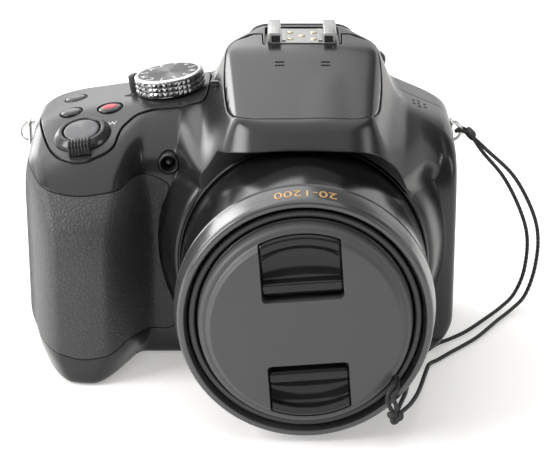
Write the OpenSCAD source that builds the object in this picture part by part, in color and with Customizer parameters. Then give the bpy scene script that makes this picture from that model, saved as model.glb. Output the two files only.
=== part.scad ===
// Bridge camera with a built-in zoom lens, a pop-up flash and a corded lens cap.
// Millimetres, +Z up, the front faces -Y and +X is on the right seen from the front.
// The origin is the mouth of the tripod socket in the flat base; the lens axis lies in the plane x = 0.

/* [Body] */
// Overall width of the body
body_w = 130.2; // [118:0.2:150]
// Right side of the body from the lens axis
side_x = 46.2; // [44:0.2:58]
// Front wall ahead of the tripod screw
front_y = 22; // [18:0.5:27]
// Rear wall behind the tripod screw
rear_y = 27; // [25:0.5:33]
// Seam of the two case halves behind the tripod screw
seam_y = 5; // [4:0.5:8]
// Wall of the case
wall = 2; // [1.6:0.1:2.6]
// Lower corners of the case
base_r = 5; // [3:0.5:8]
// Upright corners of the case
plan_r = 8; // [5:0.5:10]
// Fit between pieces that stay together
snug = 0.15; // [0.1:0.01:0.3]
// Gap around pieces that move
gap = 0.4; // [0.3:0.05:0.6]
// Radial play of a pin in its bore
running = 0.06; // [0.02:0.01:0.1]

/* [Top] */
// Height of the deck at the mode dial
deck_z = 75; // [70:0.5:80]
// Fall of the deck towards the grip side
deck_roll = 8; // [4:0.5:10]
// Fall of the deck towards the front
deck_dip = 15; // [10:0.5:18]
// Depth of the top cover's skirt
skirt = 4; // [3:0.5:6]
// Height of the right shoulder
shoulder_z = 68.5; // [64:0.5:72]
// Half width of the flash hump at its top
hump_half = 23.5; // [22.5:0.5:26]
// Height of the flash hump
hump_z = 90; // [86:0.5:94]

/* [Grip] */
// Front of the grip ahead of the tripod screw
grip_y = 45; // [40:0.5:54]
// Foot of the grip below its rubber
grip_foot = 8.3; // [6:0.1:12]
// Upper edge of the grip rubber
grip_top = 56.5; // [50:0.5:60]
// Thickness of the grip rubber
rubber_t = 1; // [0.6:0.1:1.2]

/* [Lens] */
// Radius of the fixed outer barrel
barrel_r = 35.25; // [33:0.05:36]
// Clear height of the barrel over the base
barrel_lift = 1.6; // [1.2:0.1:4]
// Front lip of the outer barrel ahead of the tripod screw
barrel_y = 82; // [76:0.5:98]
// Rear end of the outer barrel ahead of the tripod screw
barrel_end = 8; // [7.5:0.5:10]
// Wall of the front lip
lip_w = 3.1; // [2.6:0.1:3.6]
// Wall of the middle barrel
mid_w = 1.9; // [1.4:0.1:2.4]
// Wall of the front barrel
front_w = 1.9; // [1.4:0.1:2.4]
// Front of the shroud ahead of the tripod screw
shroud_y = 38; // [34:0.5:42]
// Radius of the shroud at the front wall
shroud_r = 42.7; // [41:0.1:44]
// Width of the shroud's front rim
rim_w = 2; // [1.6:0.1:3]

/* [Lens cap] */
// How far the cap stands ahead of the barrel lip
cap_proud = 4.6; // [3.5:0.1:6]
// Radius of the cap on a barrel of radius 35.25
cap_r = 29; // [27.9:0.1:29.4]
// Length of the cap's plug in the filter ring
plug_l = 2.8; // [2:0.1:4]
// Width of a pinch tab
tab_w = 21.4; // [16:0.2:26]
// Height of a pinch tab
tab_h = 15; // [12:0.2:15.4]
// Travel of a pinch tab
tab_travel = 1.6; // [1:0.1:2]
// Outer rim of the cap around the tabs
cap_rim = 1.8; // [1.4:0.1:2.4]
// Radius of the cap cord
cord_r = 0.75; // [0.5:0.05:1]

/* [Flash] */
// Hinge of the flash head behind the tripod screw
flash_py = 17.5; // [16:0.25:18]
// Height of the flash hinge
flash_pz = 88.5; // [88:0.25:88.5]
// Front edge of the flash head ahead of the tripod screw
flash_y = 44.5; // [40:0.5:46]
// Half width of the flash head at its rear edge
flash_half = 23.4; // [22.4:0.1:24]
// Half width of the flash head at its front edge
flash_nose = 19.8; // [18.6:0.1:21]
// Radius of the flash hinge pins
flash_pin_r = 0.9; // [0.7:0.05:1.1]

/* [Controls] */
// Mode dial from the lens axis
dial_x = -40.2; // [-41:0.2:-40]
// Mode dial behind the tripod screw
dial_y = 8.5; // [7:0.5:11]
// Radius of the mode dial
dial_r = 10; // [8.4:0.1:12]
// Height of the mode dial
dial_h = 4.6; // [3.5:0.1:6]
// Radius of the stems of the top controls
stem_r = 2; // [1.5:0.1:2.4]
// Shutter button from the grip side of the body
shutter_x = 18.5; // [17:0.5:20]
// Shutter button ahead of the tripod screw
shutter_y = 14.6; // [13:0.2:17]
// Radius of the shutter button
shutter_r = 5.3; // [4.6:0.1:5.8]
// Radius of the zoom lever ring
zoom_r = 8.1; // [7.6:0.1:8.6]
// Radius of the record button
record_r = 3.7; // [3:0.1:4.4]
// Radius of the two small buttons
fn_r = 3.2; // [2.6:0.1:3.8]
// Radius of the rear buttons
key_r = 3.2; // [2.6:0.1:3.8]
// Radius of the cursor pad
pad_r = 9.4; // [8:0.1:11]
// Travel of a button
key_travel = 0.9; // [0.6:0.1:1.2]
// Radius of the rear dial
wheel_r = 8.5; // [7.5:0.1:9]

/* [Screen and finder] */
// Width of the screen glass
lcd_w = 72; // [60:0.5:73]
// Height of the screen glass
lcd_h = 54; // [45:0.5:55]
// Height of the finder axis
finder_z = 78; // [76:0.5:79]
// Rear edge of the eyecup behind the tripod screw
eyecup_y = 37.2; // [36:0.2:44]
// Width of the hot shoe
shoe_w = 21; // [20.6:0.1:21.4]
// Top of the hot shoe
shoe_z = 94.3; // [93.9:0.1:96]

/* [Base] */
// Radius of the tripod thread
tripod_r = 3.175; // [3.1:0.005:3.3]
// Depth of the tripod socket
tripod_l = 5.5; // [4.5:0.1:6]
// Battery thickness
battery_t = 15; // [12:0.5:18]
// Battery height
battery_h = 43; // [35:0.5:46]
// Radius of the door hinge pins
door_pin_r = 0.8; // [0.6:0.05:1]

/* [View] */
// Node to draw

/* [Hidden] */
$fn = 96;
arc_n = 5;
far = 200;
x_left = side_x - body_w;
lens_z = barrel_r + barrel_lift;
fold = 29;
grip_in = x_left + battery_t + 24;

function unit(v) = v / norm(v);
function wrap(p, i) = p[(i + len(p)) % len(p)];
function left_of(a, b) = let (d = unit(b - a)) [-d[1], d[0]];
function turn(p, t) = [p[0] * cos(t) - p[1] * sin(t), p[0] * sin(t) + p[1] * cos(t)];
function bend(p, i) = cross(p[i] - wrap(p, i - 1), wrap(p, i + 1) - p[i]);

// Closed outline moved inwards by d
function inset(p, d) = [for (i = [0 : len(p) - 1])
  let (m = left_of(wrap(p, i - 1), p[i]), n = left_of(p[i], wrap(p, i + 1)))
  p[i] + (m + n) * d / (1 + m * n)];

// Arc that rounds the corner b between its neighbours a and c
function corner(a, b, c, r) =
  let (u = unit(a - b), v = unit(c - b), h = acos(u * v) / 2, m = b + unit(u + v) * r / sin(h))
  let (p = b + u * r / tan(h) - m, s = cross(u, v) > 0 ? -1 : 1)
  [for (k = [0 : arc_n]) m + turn(p, s * (180 - 2 * h) * k / arc_n)];

// Closed outline with each corner rounded, its radius following the inset d
function rounded(p, r, d) = [for (i = [0 : len(p) - 1])
  let (q = bend(p, i) > 0 ? r[i] - d : r[i] + d)
  each (r[i] > 0 && q > 0.1 ? corner(wrap(p, i - 1), p[i], wrap(p, i + 1), q) : [p[i]])];

module outline(p, r, d = 0) {
  polygon(rounded(inset(p, d), r, d));
}

// Flat shape in (x, z) carried along Y
module along_y(y0, y1) {
  translate([0, y1, 0]) rotate([90, 0, 0]) linear_extrude(y1 - y0) children();
}

// Flat shape in (y, z) carried along X
module along_x(x0, x1) {
  translate([x0, 0, 0]) rotate([90, 0, 90]) linear_extrude(x1 - x0) children();
}

module box(a, b) {
  translate(a) cube(b - a);
}

// Round bar along Y
module rod_y(x, z, r, y0, y1) {
  translate([x, y1, z]) rotate([90, 0, 0]) cylinder(r = r, h = y1 - y0);
}

// Round bar along X
module rod_x(y, z, r, x0, x1) {
  translate([x0, y, z]) rotate([0, 90, 0]) cylinder(r = r, h = x1 - x0);
}

// Both sides of the lens axis plane
module both() {
  children();
  mirror([1, 0, 0]) children();
}

// Profile in (radius, distance ahead of the tripod screw) turned about the lens axis
module about_lens() {
  translate([0, 0, lens_z]) rotate([90, 0, 0]) rotate_extrude() children();
}

module soft_rect(w, h, r) {
  outline([[-w / 2, -h / 2], [w / 2, -h / 2], [w / 2, h / 2], [-w / 2, h / 2]], [r, r, r, r]);
}

function deck(x) = deck_z + tan(deck_roll) * (x - dial_x);
function slope(x, y) = deck(x) + tan(deck_dip) * min(0, y);

slope_rx = atan(tan(deck_dip) * cos(deck_roll));

module on_deck(x, y) {
  translate([x, y, deck(x)]) rotate([0, -deck_roll, 0]) children();
}

module on_slope(x, y) {
  translate([x, y, slope(x, y)]) rotate([slope_rx, -deck_roll, 0]) children();
}

module above(d) {
  translate([-far, -far, -d]) cube([2 * far, 2 * far, far]);
}

body_pts = [[x_left, 0], [side_x, 0], [side_x, shoulder_z], [hump_half + 6, shoulder_z + 8],
  [hump_half, hump_z], [-hump_half, hump_z], [-fold, deck(-fold)], [x_left, deck(x_left)]];
body_rad = [base_r, base_r, 6, 5, 2.5, 2.5, 4, 5];
plan_pts = [[x_left, -front_y], [side_x, -front_y], [side_x, rear_y], [x_left, rear_y]];
plan_rad = [0, plan_r, plan_r, plan_r];
grip_pts = [[x_left, 0], [x_left, -14], [x_left + 9, -grip_y], [grip_in - 10, -grip_y],
  [grip_in, 2 - front_y], [grip_in, 0]];
grip_rad = [0, 14, 12, 11, 8, 0];
top_pts = [[-fold, rear_y + 9], [x_left - 9, rear_y + 9], [x_left - 9, -far], [grip_in - 21, -far],
  [grip_in - 15, -32], [grip_in - 12.5, -26], [grip_in - 9.5, -19], [grip_in - 7.2, -9],
  [grip_in - 2.9, -4.1], [grip_in + 1.8, -0.7], [grip_in + 7, 0.8], [grip_in + 12.1, 2.8], [-fold, 4]];

// Solid body, each wall moved inwards by d
module body_solid(d) {
  difference() {
    union() {
      intersection() {
        along_y(d - front_y, rear_y - d) outline(body_pts, body_rad, d);
        linear_extrude(far) outline(plan_pts, plan_rad, d);
      }
      translate([0, 0, d]) linear_extrude(deck_z) outline(grip_pts, grip_rad, d);
    }
    intersection() {
      on_slope(0, -1) above(d);
      box([-far, -far, 0], [d - fold, far, far]);
    }
  }
}

module body_shell() {
  difference() {
    body_solid(0);
    body_solid(wall);
  }
}

// Space of the top cover, grown by s
module top_zone(s) {
  intersection() {
    linear_extrude(far) polygon(inset(top_pts, -s));
    union() {
      on_deck(dial_x, 0) above(skirt + s);
      on_slope(0, -1) above(skirt + s);
    }
  }
}

// Skin of the grip rubber, grown by s
module rubber_zone(s) {
  intersection() {
    difference() {
      translate([0, 0, grip_foot - s]) linear_extrude(grip_top - grip_foot + 2 * s)
        outline(grip_pts, grip_rad, -s);
      linear_extrude(far) outline(grip_pts, grip_rad, rubber_t + s);
    }
    union() {
      box([-far, -far, 0], [grip_in - 5 + s, s - 3, far]);
      box([grip_in - 6, -far, 0], [0, s - front_y - 0.6, far]);
    }
  }
}

// Stations of the lens
lip_in = barrel_r - lip_w;
mid_out = lip_in - gap;
mid_in = mid_out - mid_w;
front_out = mid_in - gap;
front_in = front_out - front_w;
body_out = barrel_r - 1.7;
bore_r = barrel_r + 0.35 + gap;
bezel_r = bore_r + 1;
cap_back = barrel_y - 1;
front_face = cap_back - 0.3;
cap_face = barrel_y + cap_proud;
mid_end = barrel_end + 3;
front_end = mid_end + 4;
seat_h = front_face - 14;

// Stations of the flash head
lid_y = -0.6;
lid_rear_z = hump_z + 2;
lid_front_z = lid_rear_z - 8.5;
lid_under_rear = hump_z - 2.5;
lid_under_front = lid_front_z - 1.9;
ear_in = shoe_w / 2 + 2.1;
ear_out = hump_half - 4.1;
flash_floor = lens_z + bezel_r + 0.2 + 1;
window_y = flash_y - 2;
window_dy = (lid_under_front - flash_floor - gap) * tan(25);
house_half = flash_nose - 3.3;
house_end = 12;
lamp_x = -39.3;
lamp_z = 62.6;
release_y = -8;
release_z = hump_z - 10;

// Seam line under the flash lid, lowered by s
function lid_under(y) = lid_under_front
  + (lid_under_rear - lid_under_front) * (y + flash_y) / (flash_y - lid_y);

// Room that the closed flash head takes up, with its gap
module flash_room() {
  along_x(-far, far) polygon([[gap - lid_y, lid_under(-lid_y) - gap], [gap - lid_y, far], [-far, far],
    [-far, lid_under(-flash_y - 9) - gap], [-flash_y - 9, lid_under(-flash_y - 9) - gap]]);
  along_x(-house_half - gap, house_half + gap) polygon([[gap - house_end, flash_floor], [gap - house_end, far],
    [-window_y - gap, far], [-window_y - gap, lid_under_front], [window_dy - window_y - gap, flash_floor]]);
  both() box([ear_in - gap, -house_end, flash_pz - 6], [ear_out + gap, flash_py + 3.6, far]);
}

module shroud() {
  intersection() {
    translate([0, wall / 2 - front_y, lens_z]) rotate([90, 0, 0])
      cylinder(r1 = shroud_r, r2 = bore_r + rim_w, h = shroud_y - front_y + wall / 2);
    box([-far, -far, 0], [far, far, far]);
  }
}

module brow() {
  along_x(-flash_nose - 0.2, flash_nose + 0.2) polygon([[wall / 2 - front_y, lens_z + bore_r - 3],
    [wall / 2 - front_y, hump_z], [-flash_y, hump_z], [-flash_y - 0.4, lid_under_front - gap],
    [-flash_y - 5.5, flash_floor - 1], [-shroud_y, flash_floor - 1], [-shroud_y, lens_z + bore_r - 3]]);
}

// Battery bay
bay_x0 = x_left + 11;
card_t = 2.1;
bay_x1 = bay_x0 + battery_t + 2.4 + card_t;
bay_y0 = -28.6;
bay_y1 = -1.6;
box_t = 1.2;
box_z = 5;
door_hy = 1;
door_hr = 2.2;
door_x0 = bay_x0 - 3;
door_x1 = bay_x1 + 3;
door_y0 = bay_y0 - 2.4;
latch_l = 4;
latch_w = 10;
latch_travel = 2.4;

// Terminal door
port_hy = seam_y + 4;
port_hr = 1.9;
port_y1 = port_hy + 12.8;
port_z0 = 18;
port_z1 = 50;

// Rear keys: place across and up
lcd_x = 4;
lcd_z = 7.5 + lcd_h / 2;
pad_x = x_left + 30;
pad_z = 31;
lock_at = [x_left + 41, deck(x_left + 41) - 8.6065];
finder_at = [-fold - 3.5, 66.5];
play_at = [x_left + 42, 50];
display_at = [x_left + 42, 12];
quick_at = [x_left + 19, 13];
key_out = 1.2;
set_r = 4.2;
wheel_x = x_left + 22;
wheel_z = 57;
wheel_t = 5;
wheel_y = rear_y + 3 - wheel_r;
diopter_x = hump_half + 1.2;
diopter_z = hump_z - 9;
diopter_y = rear_y - 6.4;
lug_z = 61.6;
lug_y = seam_y + 4;
lug_r = 3;
lug_wire = 0.65;
chassis_y = -5.2;
chassis_t = 1.5;
board_y = 8;
screw_at = [[38, 21], [-20, 21], [x_left + 12, 21]];
screw_r = 1.7;

// Side of the case seam that belongs to the rear case
module rear_zone() {
  box([-far, seam_y, -1], [far, far, far]);
  box([gap - ear_in, -lid_y, lid_under_rear - gap], [ear_in - gap, far, far]);
}

module front_case() {
  color("#3b3d40") difference() {
    union() {
      difference() {
        body_shell();
        rear_zone();
      }
      difference() {
        union() {
          shroud();
          brow();
        }
        body_solid(wall);
      }
      intersection() {
        body_solid(0);
        box([2 - hump_half, -front_y, flash_floor - 1.2], [hump_half - 2, -house_end + 3, flash_floor]);
      }
    }
    rod_y(0, lens_z, bore_r, -far, wall - front_y + 1);
    flash_room();
    top_zone(snug);
    rubber_zone(snug);
    rod_y(lamp_x, lamp_z, 2.8 + snug, -far, 0);
    rod_x(release_y, release_z, 1.8 + gap, -far, 0);
    box([door_x0 - gap, door_y0 - gap, -1], [door_x1 + gap, door_hy + door_hr + gap, wall + 1]);
    translate([0, 0, -1]) cylinder(r = 5 + snug, h = wall + 2);
    rod_x(door_hy, door_hr, door_pin_r + running, door_x0 - gap - 2.6, door_x1 + gap + 2.6);
  }
  color("#3b3d40") difference() {
    union() {
      box([door_x0 - gap - 2.6, door_hy - 2, wall], [door_x0 - gap, door_hy + 2, wall + 2.6]);
      box([door_x1 + gap, door_hy - 2, wall], [door_x1 + gap + 2.6, door_hy + 2, wall + 2.6]);
    }
    rod_x(door_hy, door_hr, door_pin_r + running, -far, far);
  }
}

module key_hole(at, r) {
  rod_y(at[0], at[1], r + gap, 0, far);
}

module rear_case() {
  color("#35373a") difference() {
    union() {
      intersection() {
        body_shell();
        rear_zone();
      }
      intersection() {
        body_solid(wall / 2);
        both() {
          box([ear_out + gap, flash_py - 4, flash_pz - 6], [far, flash_py + 4, far]);
          box([ear_in - gap - 3, flash_py - 4, flash_pz - 6], [ear_in - gap, flash_py + 4, far]);
        }
      }
      box([wheel_x - 4, wheel_y - 4, wheel_z - 3.2], [wheel_x + 4, rear_y - wall / 2, wheel_z - 0.4]);
      box([wheel_x - 4, wheel_y - 4, wheel_z + wheel_t + 0.4],
        [wheel_x + 4, rear_y - wall / 2, wheel_z + wheel_t + 3]);
      rod_y(diopter_x - 1.2, diopter_z, 2.6, rear_y - wall - 1.2, rear_y - wall / 2);
      box([side_x - 3.8, port_hy - port_hr, port_z0 - 3],
        [side_x - wall / 2, port_hy + port_hr, port_z0 - gap]);
      box([side_x - 3.8, port_hy - port_hr, port_z1 + gap],
        [side_x - wall / 2, port_hy + port_hr, port_z1 + 3]);
    }
    flash_room();
    top_zone(snug);
    both() rod_x(flash_py, flash_pz, flash_pin_r + running, ear_in - 2.6, ear_out + 2.8);
    along_y(0, far) translate([lcd_x, lcd_z]) soft_rect(lcd_w + 2 * snug, lcd_h + 2 * snug, 2);
    along_y(0, far) translate([0, finder_z]) soft_rect(19, 12, 2);
    key_hole(lock_at, key_r);
    key_hole(finder_at, key_r);
    key_hole(play_at, key_r);
    key_hole(display_at, key_r);
    key_hole(quick_at, key_r);
    key_hole([pad_x, pad_z], pad_r);
    box([wheel_x - wheel_r - gap, wheel_y - wheel_r - gap, wheel_z - 0.4],
      [wheel_x + wheel_r + gap, far, wheel_z + wheel_t + 0.4]);
    translate([wheel_x, wheel_y, wheel_z - 6]) cylinder(r = 1.2 + running, h = wheel_t + 12);
    box([diopter_x - 9, diopter_y - 0.4, diopter_z - 4.6], [far, diopter_y + 3.2, diopter_z + 4.6]);
    rod_y(diopter_x - 1.2, diopter_z, 0.8 + running, 0, rear_y - 0.8);
    box([side_x - wall - 3, port_hy - port_hr - gap, port_z0 - gap], [far, port_y1 + gap, port_z1 + gap]);
    translate([side_x - port_hr, port_hy, port_z0 - 9])
      cylinder(r = 0.7 + running, h = port_z1 - port_z0 + 18);
    for (s = screw_at) translate([s[0], s[1], -1]) cylinder(r = screw_r + snug, h = 2.2);
  }
}

module top_cover() {
  color("#4a4c50") difference() {
    intersection() {
      body_shell();
      top_zone(0);
    }
    flash_room();
    on_deck(dial_x, dial_y) translate([0, 0, -9]) cylinder(r = stem_r + running, h = 18);
    on_slope(x_left + shutter_x, -shutter_y) translate([0, 0, -9])
      cylinder(r = stem_r + 1.6 + running, h = 18);
    on_deck(x_left + 25.6, 1.5) translate([0, 0, -9]) cylinder(r = record_r + gap, h = 18);
    on_deck(x_left + 13.6, 1) translate([0, 0, -9]) cylinder(r = fn_r + gap, h = 18);
    on_deck(x_left + 13.8, 13) translate([0, 0, -9]) cylinder(r = fn_r + gap, h = 18);
  }
}

module grip_rubber() {
  color("#222325") difference() {
    rubber_zone(0);
    top_zone(snug);
  }
}

module thumb_rest() {
  color("#222325") along_y(rear_y, rear_y + 1.2)
    outline([[x_left + 9, 27], [x_left + 17, 27], [x_left + 17, 53], [x_left + 9, 53]], [3, 3, 3, 3]);
}

// Metal frame behind the lens that carries the sensor, the board and the battery box
module chassis() {
  color("#9a9da1") difference() {
    union() {
      box([bay_x1 + box_t, chassis_y, wall], [side_x - wall - 4, chassis_y + chassis_t, lens_z + 28]);
      for (x = [-30, 30]) for (z = [12, 58]) rod_y(x, z, 2, chassis_y + chassis_t, board_y);
      box([-7, chassis_y, lens_z + 20], [7, chassis_y + chassis_t, finder_z + 4]);
      box([-7, chassis_y, finder_z - 4], [7, rear_y - 10, finder_z - 2.8]);
    }
    box([-7, -far, 0], [7, far, tripod_l + 3.5]);
    box([bay_x1 + box_t - 1, -far, 0], [bay_x1 + box_t + 13, far, 14]);
    box([29, -far, 0], [far, far, 13]);
  }
}

module case_screws() {
  color("#8d9094") for (s = screw_at) translate([s[0], s[1], 0.2]) difference() {
    cylinder(r = screw_r, h = 0.9);
    box([-1.2, -0.2, -0.2], [1.2, 0.2, 0.4]);
    box([-0.2, -1.2, -0.2], [0.2, 1.2, 0.4]);
  }
}

// Threaded bush of the tripod socket
module tripod_bush() {
  color("#a8abae") difference() {
    union() {
      cylinder(r = 5, h = tripod_l + 2);
      translate([0, 0, wall + snug]) cylinder(r = 6, h = 1.4);
    }
    translate([0, 0, -1]) cylinder(r = tripod_r, h = tripod_l + 1);
  }
}

module strap_lug() {
  box([0, -3, -4], [0.7, 3, 4]);
  translate([0.4, 0, 0]) rotate([90, 0, 0]) rotate_extrude() translate([lug_r, 0]) circle(r = lug_wire);
}

module strap_lugs() {
  color("#b9bcc0") intersection() {
    translate([side_x, lug_y, lug_z]) strap_lug();
    box([side_x, -far, 0], [far, far, far]);
  }
  color("#b9bcc0") intersection() {
    translate([x_left, lug_y, lug_z]) mirror([1, 0, 0]) strap_lug();
    box([-far, -far, 0], [x_left, far, far]);
  }
}

module lens_bezel() {
  color("#2c2e30") intersection() {
    about_lens() polygon([[bore_r - 0.2, shroud_y], [bezel_r, shroud_y], [bezel_r, shroud_y + 0.6],
      [bore_r + 0.5, shroud_y + 1.4], [bore_r - 0.2, shroud_y + 1.4]]);
    box([-far, -far, 0.2], [far, far, far]);
  }
}

module outer_barrel() {
  color("#4b4d50") about_lens() polygon([[lip_in, barrel_y - 0.4], [lip_in + 0.4, barrel_y],
    [barrel_r - 0.5, barrel_y], [barrel_r, barrel_y - 0.5], [barrel_r + 0.35, barrel_y - 8.4],
    [barrel_r - 0.2, barrel_y - 8.4], [barrel_r - 0.2, barrel_y - 9.2], [barrel_r + 0.35, barrel_y - 9.2],
    [barrel_r + 0.35, front_y + 3], [body_out, front_y + 3], [body_out, barrel_end], [14, barrel_end],
    [14, barrel_end + 1.6], [lip_in, barrel_end + 1.6]]);
}

module mid_barrel() {
  color("#3f4144") about_lens() polygon([[mid_in, barrel_y - 1.3], [mid_in + 0.3, barrel_y - 1],
    [mid_out - 0.3, barrel_y - 1], [mid_out, barrel_y - 1.3], [mid_out, mid_end], [16, mid_end],
    [16, mid_end + 1.5], [mid_in, mid_end + 1.5]]);
}

module front_barrel() {
  color("#36383b") about_lens() polygon([[front_in, front_face - 0.3], [front_in + 0.3, front_face],
    [front_out - 0.4, front_face], [front_out, front_face - 0.4], [front_out, front_end],
    [front_in, front_end], [front_in, seat_h - 1.6], [front_in - 2.4, seat_h - 1.6], [front_in - 2.4, seat_h],
    [front_in, seat_h]]);
}

// Front lens with a domed face, seated on the ledge of the front barrel
module front_element() {
  color("#5a6a80") about_lens() polygon(concat([[0, seat_h - 1], [front_in - 2.8, seat_h - 1],
    [front_in - 2.8, seat_h], [front_in - snug, seat_h], [front_in - snug, seat_h + 2]],
    [for (k = [1 : 8]) [(front_in - snug) * cos(90 * k / 8), seat_h + 2 + 3.4 * sin(90 * k / 8)]]));
}

module middle_lens_group() {
  color("#5a6a80") rod_y(0, lens_z, 16 - snug, -mid_end - 1.3, -mid_end - 0.2);
  color("#5a6a80") rod_y(0, lens_z, 13, -mid_end - 3.4, -mid_end - 1.3);
}

module rear_lens_group() {
  color("#5a6a80") rod_y(0, lens_z, 14 - snug, -barrel_end - 1.4, -barrel_end - 0.1);
}

module image_sensor() {
  color("#2f5a44") box([-9, chassis_y - 2, lens_z - 8], [9, chassis_y, lens_z + 8]);
}

module zoom_motor() {
  color("#8d9094") rod_y(bay_x1 + 8, wall + 4.9, 4.6, 3 - front_y, chassis_y - 1);
  color("#8d9094") rod_y(bay_x1 + 8, wall + 4.9, 1, chassis_y - 1, chassis_y + 2);
}

cap_edge = cap_r + barrel_r - 35.25;
pocket_in = cap_edge - cap_rim - tab_h - gap - tab_travel - gap;
tab_out = cap_edge - cap_rim - gap;

module cap_pocket() {
  intersection() {
    box([-tab_w / 2 - gap, -far, lens_z + pocket_in], [tab_w / 2 + gap, -cap_back - 1.6, far]);
    rod_y(0, lens_z, cap_edge - cap_rim, -far, 0);
  }
}

module lens_cap() {
  color("#55575a") difference() {
    about_lens() polygon([[0, cap_back - plug_l], [front_in - 0.3, cap_back - plug_l],
      [front_in - 0.3, cap_back], [cap_edge, cap_back], [cap_edge, cap_face - 1.2],
      [cap_edge - 0.8, cap_face - 0.4], [cap_edge - 2.4, cap_face],
      [0, cap_face]]);
    cap_pocket();
    translate([0, 0, 2 * lens_z]) mirror([0, 0, 1]) cap_pocket();
    rod_y(cap_edge - 8.4, lens_z + 12.5 - cap_edge, cord_r + 0.45, -far, 0);
  }
}

// Sliding tab: floor, finger lip on its inner end and a curved outer pad
module cap_tab() {
  intersection() {
    union() {
      box([-tab_w / 2, -cap_back - 3, lens_z + tab_out - tab_h],
        [tab_w / 2, -cap_back - 1.6 - gap, lens_z + cap_edge]);
      box([-tab_w / 2, 0.6 - cap_face, lens_z + tab_out - tab_h],
        [tab_w / 2, -cap_back - 1.6 - gap, lens_z + tab_out - tab_h + 2.4]);
      box([-tab_w / 2, 0.2 - cap_face, lens_z + tab_out - 4],
        [tab_w / 2, -cap_back - 1.6 - gap, lens_z + cap_edge]);
    }
    rod_y(0, lens_z, tab_out, -far, 0);
  }
}

module cap_tab_top() {
  color("#5d5f62") cap_tab();
}

module cap_tab_bottom() {
  color("#5d5f62") translate([0, 0, 2 * lens_z]) mirror([0, 0, 1]) cap_tab();
}

// Two strands from the lug over the table to the knot, and a tail up to the cap
cord_a = [[47.92, 9, 61.6], [48.7, 6.6, 62.3], [51.6, 6, 61.6], [58, 8, 55.5], [67, 11, 46],
  [73.5, 12.5, 34], [76, 13.5, 24], [75.4, 14, 13], [72.6, 13, 4.5], [68, 9, 1.3],
  [59, -4, 1], [50.5, -16, 1], [45.5, -25, 1],
  [41, -34, 1], [37.5, -47, 1], [34.5, -60, 1.3], [31, -74, 3.6], [25.6, -88.5, 11.5]];
cord_b = [[47.92, 9, 61.6], [48.7, 11.4, 62.3], [51.6, 12, 61], [57, 13, 53.5], [64.5, 15, 44],
  [70.5, 17, 32], [73.2, 18, 22], [72.6, 18, 11], [69.6, 16.6, 3.6], [64.5, 11, 1.3],
  [56.2, -1, 1.2], [52.5, -9.5, 2.7], [48.8, -17.5, 2.7],
  [43.4, -28.5, 2.5], [39.6, -39, 1.2], [33.8, -52, 1.3], [29.2, -68, 3.2], [25.6, -88.5, 11.5]];
cord_c = [[25.6, -88.5, 11.5], [22.8, -88.6, 17.6], [20.6, -87.8, 20.35], [20.6, -79.4, 20.35]];

// Smooth route through the points p, three stations to a span
function route(p) = [for (i = [0 : len(p) - 2]) for (k = [0 : (i == len(p) - 2 ? 3 : 2)])
  let (t = k / 3, a = p[max(0, i - 1)], b = p[i], c = p[i + 1], d = p[min(len(p) - 1, i + 2)])
  ((2 * b) + (c - a) * t + (2 * a - 5 * b + 4 * c - d) * t * t + (3 * b - a - 3 * c + d) * t * t * t) / 2];

// Cord swept along a route as a tube of six sides
module strand(p) {
  q = route(p);
  n = len(q);
  lean = [0.81, -0.57, 0.16];
  rings = [for (i = [0 : n - 1])
    let (t = unit(q[min(n - 1, i + 1)] - q[max(0, i - 1)]), u = unit(cross(t, lean)), v = cross(t, u))
    for (k = [0 : 5]) q[i] + cord_r * (u * cos(60 * k) + v * sin(60 * k))];
  sides = [for (i = [0 : n - 2]) for (k = [0 : 5])
    let (a = 6 * i + k, b = 6 * i + (k + 1) % 6) each [[a, a + 6, b], [b, a + 6, b + 6]]];
  ends = [for (k = [1 : 4]) each [[0, k, k + 1], [6 * n - 6, 6 * n - 6 + k + 1, 6 * n - 6 + k]]];
  polyhedron(rings, concat(sides, ends));
}

module lens_cap_cord() {
  color("#17181a") union() {
    strand(cord_a);
    strand(cord_b);
    strand(cord_c);
    translate([25.6, -88.5, 11.5]) sphere(r = 2.1, $fn = 24);
  }
}

module flash_head() {
  color("#404246") difference() {
    union() {
      intersection() {
        along_x(-far, far) polygon([[lid_y, lid_under_rear], [lid_y, lid_rear_z],
          [2 - flash_y, lid_front_z + 0.3], [0.4 - flash_y, lid_front_z - 0.6], [-flash_y, lid_under_front]]);
        linear_extrude(far) polygon([[-flash_half, lid_y], [-flash_nose, -flash_y], [flash_nose, -flash_y],
          [flash_half, lid_y]]);
      }
      along_x(-house_half, house_half) polygon([[-house_end, flash_floor + gap], [-house_end, lid_under_rear],
        [-window_y, lid_under_front + 0.2], [-window_y, lid_under_front],
        [window_dy - window_y, flash_floor + gap]]);
      both() along_x(ear_in, ear_out) polygon([[lid_y - 6, flash_pz - 1.6], [flash_py + 2, flash_pz - 2.2],
        [flash_py + 2.6, flash_pz - 1], [flash_py + 2.6, hump_z + 0.4], [lid_y - 6, lid_rear_z - 1.2]]);
    }
    rod_x(flash_py, flash_pz, flash_pin_r + running, -far, far);
    box([-house_half + 1.6, -window_y - 2, flash_floor + gap + 1.2],
      [house_half - 1.6, window_dy - window_y + 5, flash_floor + gap + 4.6]);
    translate([0, -window_y, lid_under_front]) rotate([25, 0, 0])
      box([-house_half + 0.8, -far, -4.8], [house_half - 0.8, 0.9, -0.4]);
  }
}

module flash_window() {
  color("#c9ced2") translate([0, -window_y, lid_under_front]) rotate([25, 0, 0])
    box([-house_half + 0.8 + snug, 0, snug - 4.8], [house_half - 0.8 - snug, 0.9, -0.4 - snug]);
}

module flash_tube() {
  color("#dfe3e6")
    rod_x(window_dy - window_y + 3.2, flash_floor + gap + 2.9, 1.3, 2 - house_half, house_half - 2);
}

module flash_hinge_pins() {
  color("#b9bcc0") both() rod_x(flash_py, flash_pz, flash_pin_r, ear_in - 2.4, ear_out + 2.4);
}

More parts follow.
